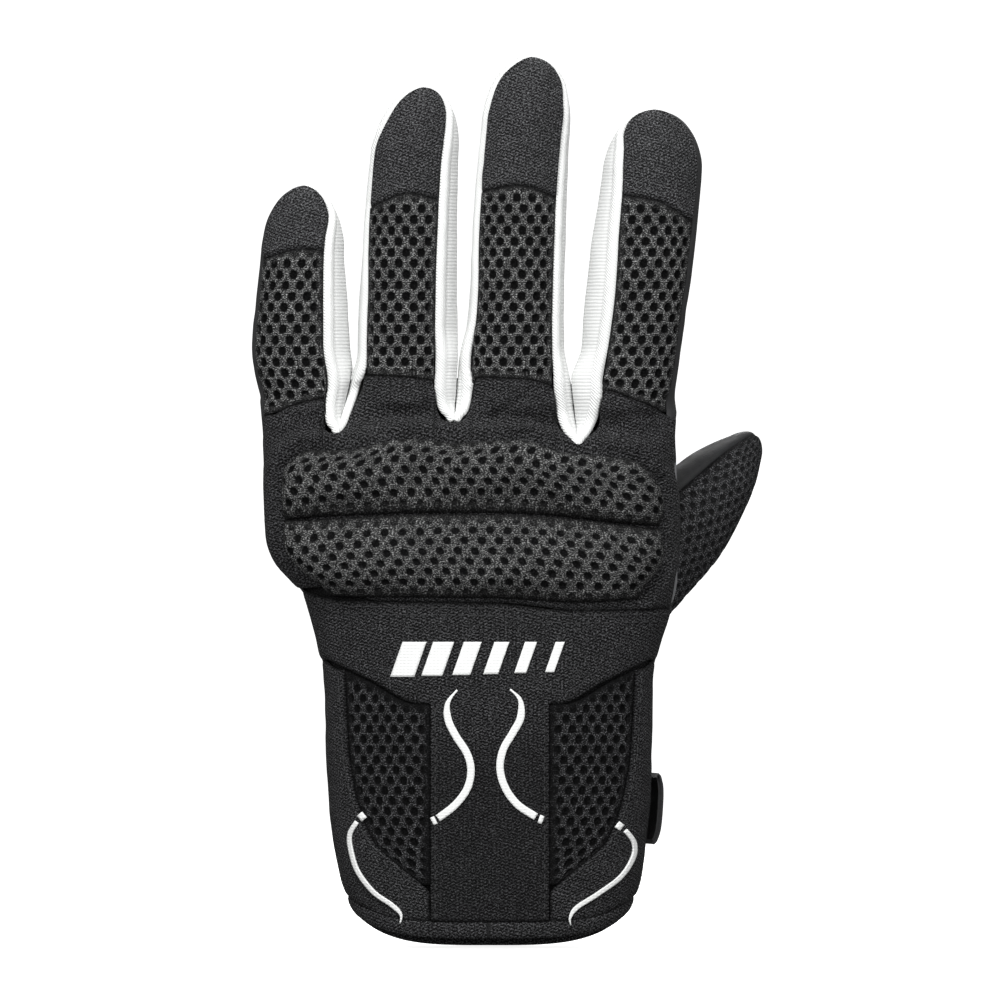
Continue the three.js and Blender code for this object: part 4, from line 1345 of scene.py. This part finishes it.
def print_strip(path, width, taper=(0, 0)):
    """Grid of (x, z) points for a printed line, narrowing over `taper` mm at its ends."""
    line = resample(path, 0.6)
    length = distances(line[None], 1)[0]
    ahead = np.gradient(line, axis=0)
    ahead /= np.linalg.norm(ahead, axis=1, keepdims=True)
    side = np.stack([-ahead[:, 1], ahead[:, 0]], -1)
    half = np.full(len(line), width / 2)
    for size, gap in zip(taper, (length, length[-1] - length)):
        if size:
            half = half * (0.25 + 0.75 * smooth(gap, 0, size))
    across = np.linspace(-1, 1, 5)
    return line[:, None] + side[:, None] * (half[:, None] * across)[..., None]


def merged(name, grids, material):
    """One object on the hand from several grids of (points, place, faces)."""
    starts = np.cumsum([0] + [points.size // 3 for points, _, _ in grids])
    points, places = (np.concatenate([grid[k].reshape(-1, 3) for grid in grids]) for k in (0, 1))
    faces = np.concatenate([grid[2] + start for grid, start in zip(grids, starts)])
    return make_object(name, points, places, faces, material, "hand")


def printed(name, outlines, height=0.55):
    """A thick print over grids of (x, z) points on the back, with its face `height` mm up."""
    grids = []
    for flat in outlines:
        x, z = flat[..., 0], flat[..., 1]
        base = drop(x, z)
        _, normals = settle(form, base, 0)
        points = base + normals * height
        faces = turned(points, grid_faces(x.shape[0] - 1, x.shape[1] - 1), (0, -1, 0))
        grids.append((points, along(x, z, height), faces))
    thicken(merged(name, grids, PRINT), 0.5)


# The printed lines as (x, z) points: an hourglass on the centre panel, and a curve on each flank.
LEFT_WAIST = [
    (-8.8, 69.7), (-11.3, 66.2), (-11.2, 61.8), (-9.2, 57.5), (-6.2, 52.8), (-5.1, 48.4),
    (-6, 43.5), (-9.2, 39), (-13.9, 35.3),
]  # fmt: skip
RIGHT_WAIST = [
    (5.4, 69.9), (8.1, 67), (8.2, 62.3), (6.1, 58.2), (3.5, 53.6), (2.7, 48.6), (4.1, 43.5),
    (7.4, 39), (12.3, 35.7),
]  # fmt: skip
LEFT_SIDE = [
    (-35.6, 34.2), (-37.4, 31), (-37.3, 27.2), (-35.4, 21), (-31.1, 15.4), (-26.4, 12.1),
    (-23.8, 9.5), (-24, 7),
]  # fmt: skip
RIGHT_SIDE = [
    (36.2, 31.9), (38.5, 28.6), (38.3, 24.6), (34.9, 19.4), (28.5, 14.7), (23.2, 11.3),
    (21.4, 8.6), (21.6, 6.6),
]  # fmt: skip

# Each line has a short bar of its own beyond one end.
printed("printed_lines", [
    print_strip(LEFT_WAIST, 2.0, (9, 0)),
    print_strip(RIGHT_WAIST, 2.0, (9, 0)),
    print_strip(LEFT_SIDE, 1.15, (0, 5)),
    print_strip(RIGHT_SIDE, 1.15, (0, 5)),
    print_strip([(-14.5, 34.9), (-15.5, 34.4)], 2.2),
    print_strip([(13.1, 35.2), (14.2, 34.8)], 2.2),
    print_strip([(-34.9, 35.1), (-33.6, 36.2)], 1.9),
    print_strip([(35.3, 32.6), (34, 33.6)], 1.9),
])

# A row of plain slanted bars on the yoke.
BAR_WIDTHS = (6.4, 5.6, 4.8, 4.0, 3.2, 2.4)
BAR_START = -25
BAR_PITCH = 8.2
BAR_LEAN = 0.35


def slanted_bar(number, width):
    """The grid of (x, z) points of one bar, counted from the left."""
    s, t = np.meshgrid(np.linspace(0, 1, 9), np.linspace(0, 1, 15))
    left = BAR_START + BAR_PITCH * number
    z = mix(73.2 + 0.25 * number, 82.6, t)
    return along(mix(left, left + width, s) + BAR_LEAN * (z - 78), z)


printed("printed_bars", [slanted_bar(*bar) for bar in enumerate(BAR_WIDTHS)])


def level(start, end, curve, shift=0.0):
    """A row of (x, z) points that keeps a distance from a seam's curve."""
    x = np.linspace(start, end, 24)
    return list(zip(x, curve(x) + shift))


def stitches(name, paths, side, gap=2.6, length=1.8, radius=0.2, lift=0.1):
    """Rows of thread stitches, each a small bead that dips into the fabric at both ends."""
    grids = []
    ring = np.linspace(0, 2 * math.pi, 7)
    shape = np.linspace(0, 1, 6)
    thick = radius * np.sqrt(1 - (2 * shape - 1) ** 2 * 0.96)
    rise = lift + 0.15 * np.sin(shape * math.pi)
    place = along(ring[None] * 0.2 + 0 * shape[:, None], shape[:, None] * length, 9.0)
    faces = grid_faces(len(shape) - 1, len(ring) - 1)[:, ::-1]
    for path in paths:
        line = resample(path, gap)
        base = drop(line[:, 0], line[:, 1], side)
        _, normals = settle(form, base, 0)
        ahead = np.gradient(base, axis=0)
        ahead /= np.linalg.norm(ahead, axis=1, keepdims=True)
        sideways = np.cross(ahead, normals)
        for p, n, a, c in zip(base, normals, ahead, sideways):
            spine = p + a * ((shape - 0.5) * length)[:, None] + n * rise[:, None]
            circle = c * np.cos(ring)[:, None] + n * np.sin(ring)[:, None]
            grids.append((spine[:, None] + circle[None] * thick[:, None, None], place, faces))
    merged(name, grids, THREAD)


def piping(name, line, radius, material, around=8):
    """Thin piping along a line of points that lie on the form, narrowing at its ends."""
    line, normals = settle(form, line)
    ahead = np.gradient(line, axis=0)
    ahead /= np.linalg.norm(ahead, axis=1, keepdims=True)
    sideways = np.cross(ahead, normals)
    turn = np.linspace(0, 2 * math.pi, around + 1)
    ends = radius * np.sqrt(np.clip(1 - np.linspace(-1, 1, len(line)) ** 12, 0.02, 1))
    circle = sideways[:, None] * np.cos(turn)[:, None] + normals[:, None] * np.sin(turn)[:, None]
    points = line[:, None] + circle * ends[:, None, None]
    place = along(turn * radius, distances(line[None], 1)[0][:, None], 9.0)
    faces = grid_faces(len(line) - 1, around)[:, ::-1]
    make_object(name, points, place, faces, material, "hand")


# Light piping down the thumb side of the back: its light grey is partly the tape's own tone and partly a
# painted highlight along the seam's edge.
height = np.linspace(93, 131, 70)
side_edge = hand_point(np.full_like(height, math.radians(79)), height)
piping("thumb_side_piping", side_edge, 0.55, tape_material("edge_tape_and_highlight", 0.07, 0.2, 0.5))

seam_rows = [level(-46, 47, YOKE_TOP, shift) for shift in (-1.4, -3.4)]
for side in (-1, 1):
    seam_rows.append([(side * (CENTRE_EDGE - 1.2), z) for z in np.linspace(9, 64, 12)])
for side in (-1, 1):
    seam_rows.append([(side * (VENT_OUTER(z) + 1.3), z) for z in np.linspace(20, 72, 14)])
stitches("seam_stitches", seam_rows, -1)

palm_rows = [[(x, 147.6) for x in np.linspace(-58, 47, 30)]]
for height in (ELASTIC[1] + 1.6, ELASTIC[0] - 1.6):
    palm_rows.append([(x, height) for x in np.linspace(-41, 40, 20)])
stitches("palm_stitches", palm_rows, 1)

# ---- Floor, light and camera ----


def backdrop_material():
    """A pale wall that glows, so that it is nearly white in every view."""
    f = Fabric("backdrop")
    material = f.finish(f.colour(f.noise(0.02), grey(0.9), grey(0.94)), roughness=0.9)
    f.shader.inputs["Emission Color"].default_value = (1, 1, 1, 1)
    f.shader.inputs["Emission Strength"].default_value = 0.9
    return material


def room(around=48):
    """A pale round floor that curves up all round into a wall, behind the camera of every view. It
    casts no light on the glove."""
    cove = [(5 + 2 * math.sin(a), 2 - 2 * math.cos(a)) for a in np.linspace(0, math.pi / 2, 12)[1:]]
    profile = [(0.00001, 0), (5, 0), *cove, (7, 8), (0.00001, 9)]
    r, z = np.array(profile).T / MM
    angle = np.linspace(0, 2 * math.pi, around + 1)[:, None]
    points = along(r * np.cos(angle), r * np.sin(angle), z)
    faces = grid_faces(around, len(profile) - 1)[:, ::-1]
    walls = make_object("backdrop", points, points * 0.1, faces, backdrop_material())
    walls.visible_diffuse = False
    walls.visible_glossy = False
    walls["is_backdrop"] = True


room()

world = bpy.data.worlds.new("studio")
bpy.context.scene.world = world
world.use_nodes = True
background = world.node_tree.nodes["Background"]
background.inputs["Color"].default_value = (1, 1, 1, 1)
background.inputs["Strength"].default_value = 0.3


def softbox(name, place, aim, size, power):
    """A rectangular area light at a place, turned towards its aim."""
    light = bpy.data.lights.new(name, "AREA")
    light.shape = "RECTANGLE"
    light.size, light.size_y = size
    light.energy = power
    lamp = bpy.data.objects.new(name, light)
    bpy.context.collection.objects.link(lamp)
    lamp.location = place
    lamp.rotation_euler = (Vector(aim) - Vector(place)).to_track_quat("-Z", "Y").to_euler()


softbox("key", (-0.1, -0.7, 1.0), (0, 0, 0.12), (0.6, 0.35), 12)
softbox("front_left", (-0.7, -1.15, 0.45), (0, 0, 0.12), (0.5, 0.5), 8)
softbox("front_right", (0.65, -1.15, 0.4), (0, 0, 0.12), (0.5, 0.5), 7.5)
softbox("rim", (0.1, 0.8, 0.8), (0, 0, 0.14), (0.6, 0.4), 8)

camera_data = bpy.data.cameras.new("camera")
camera = bpy.data.objects.new("camera", camera_data)
bpy.context.collection.objects.link(camera)
bpy.context.scene.camera = camera
# The camera is far off and level with the middle of the glove, and sees FRAME metres at y = 4 mm.
DISTANCE = 4.0
FRAME = 0.27
camera.location = (0.0027, -DISTANCE, 0.1207)
camera.rotation_euler = (math.pi / 2, 0, 0)
camera_data.sensor_width = 36
camera_data.lens = camera_data.sensor_width * (DISTANCE + 0.004) / FRAME
bpy.context.scene.view_settings.view_transform = "Standard"

size = {"cad": [list(corner) for corner in CAD_BOX], "visual": [list(corner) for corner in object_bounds()]}
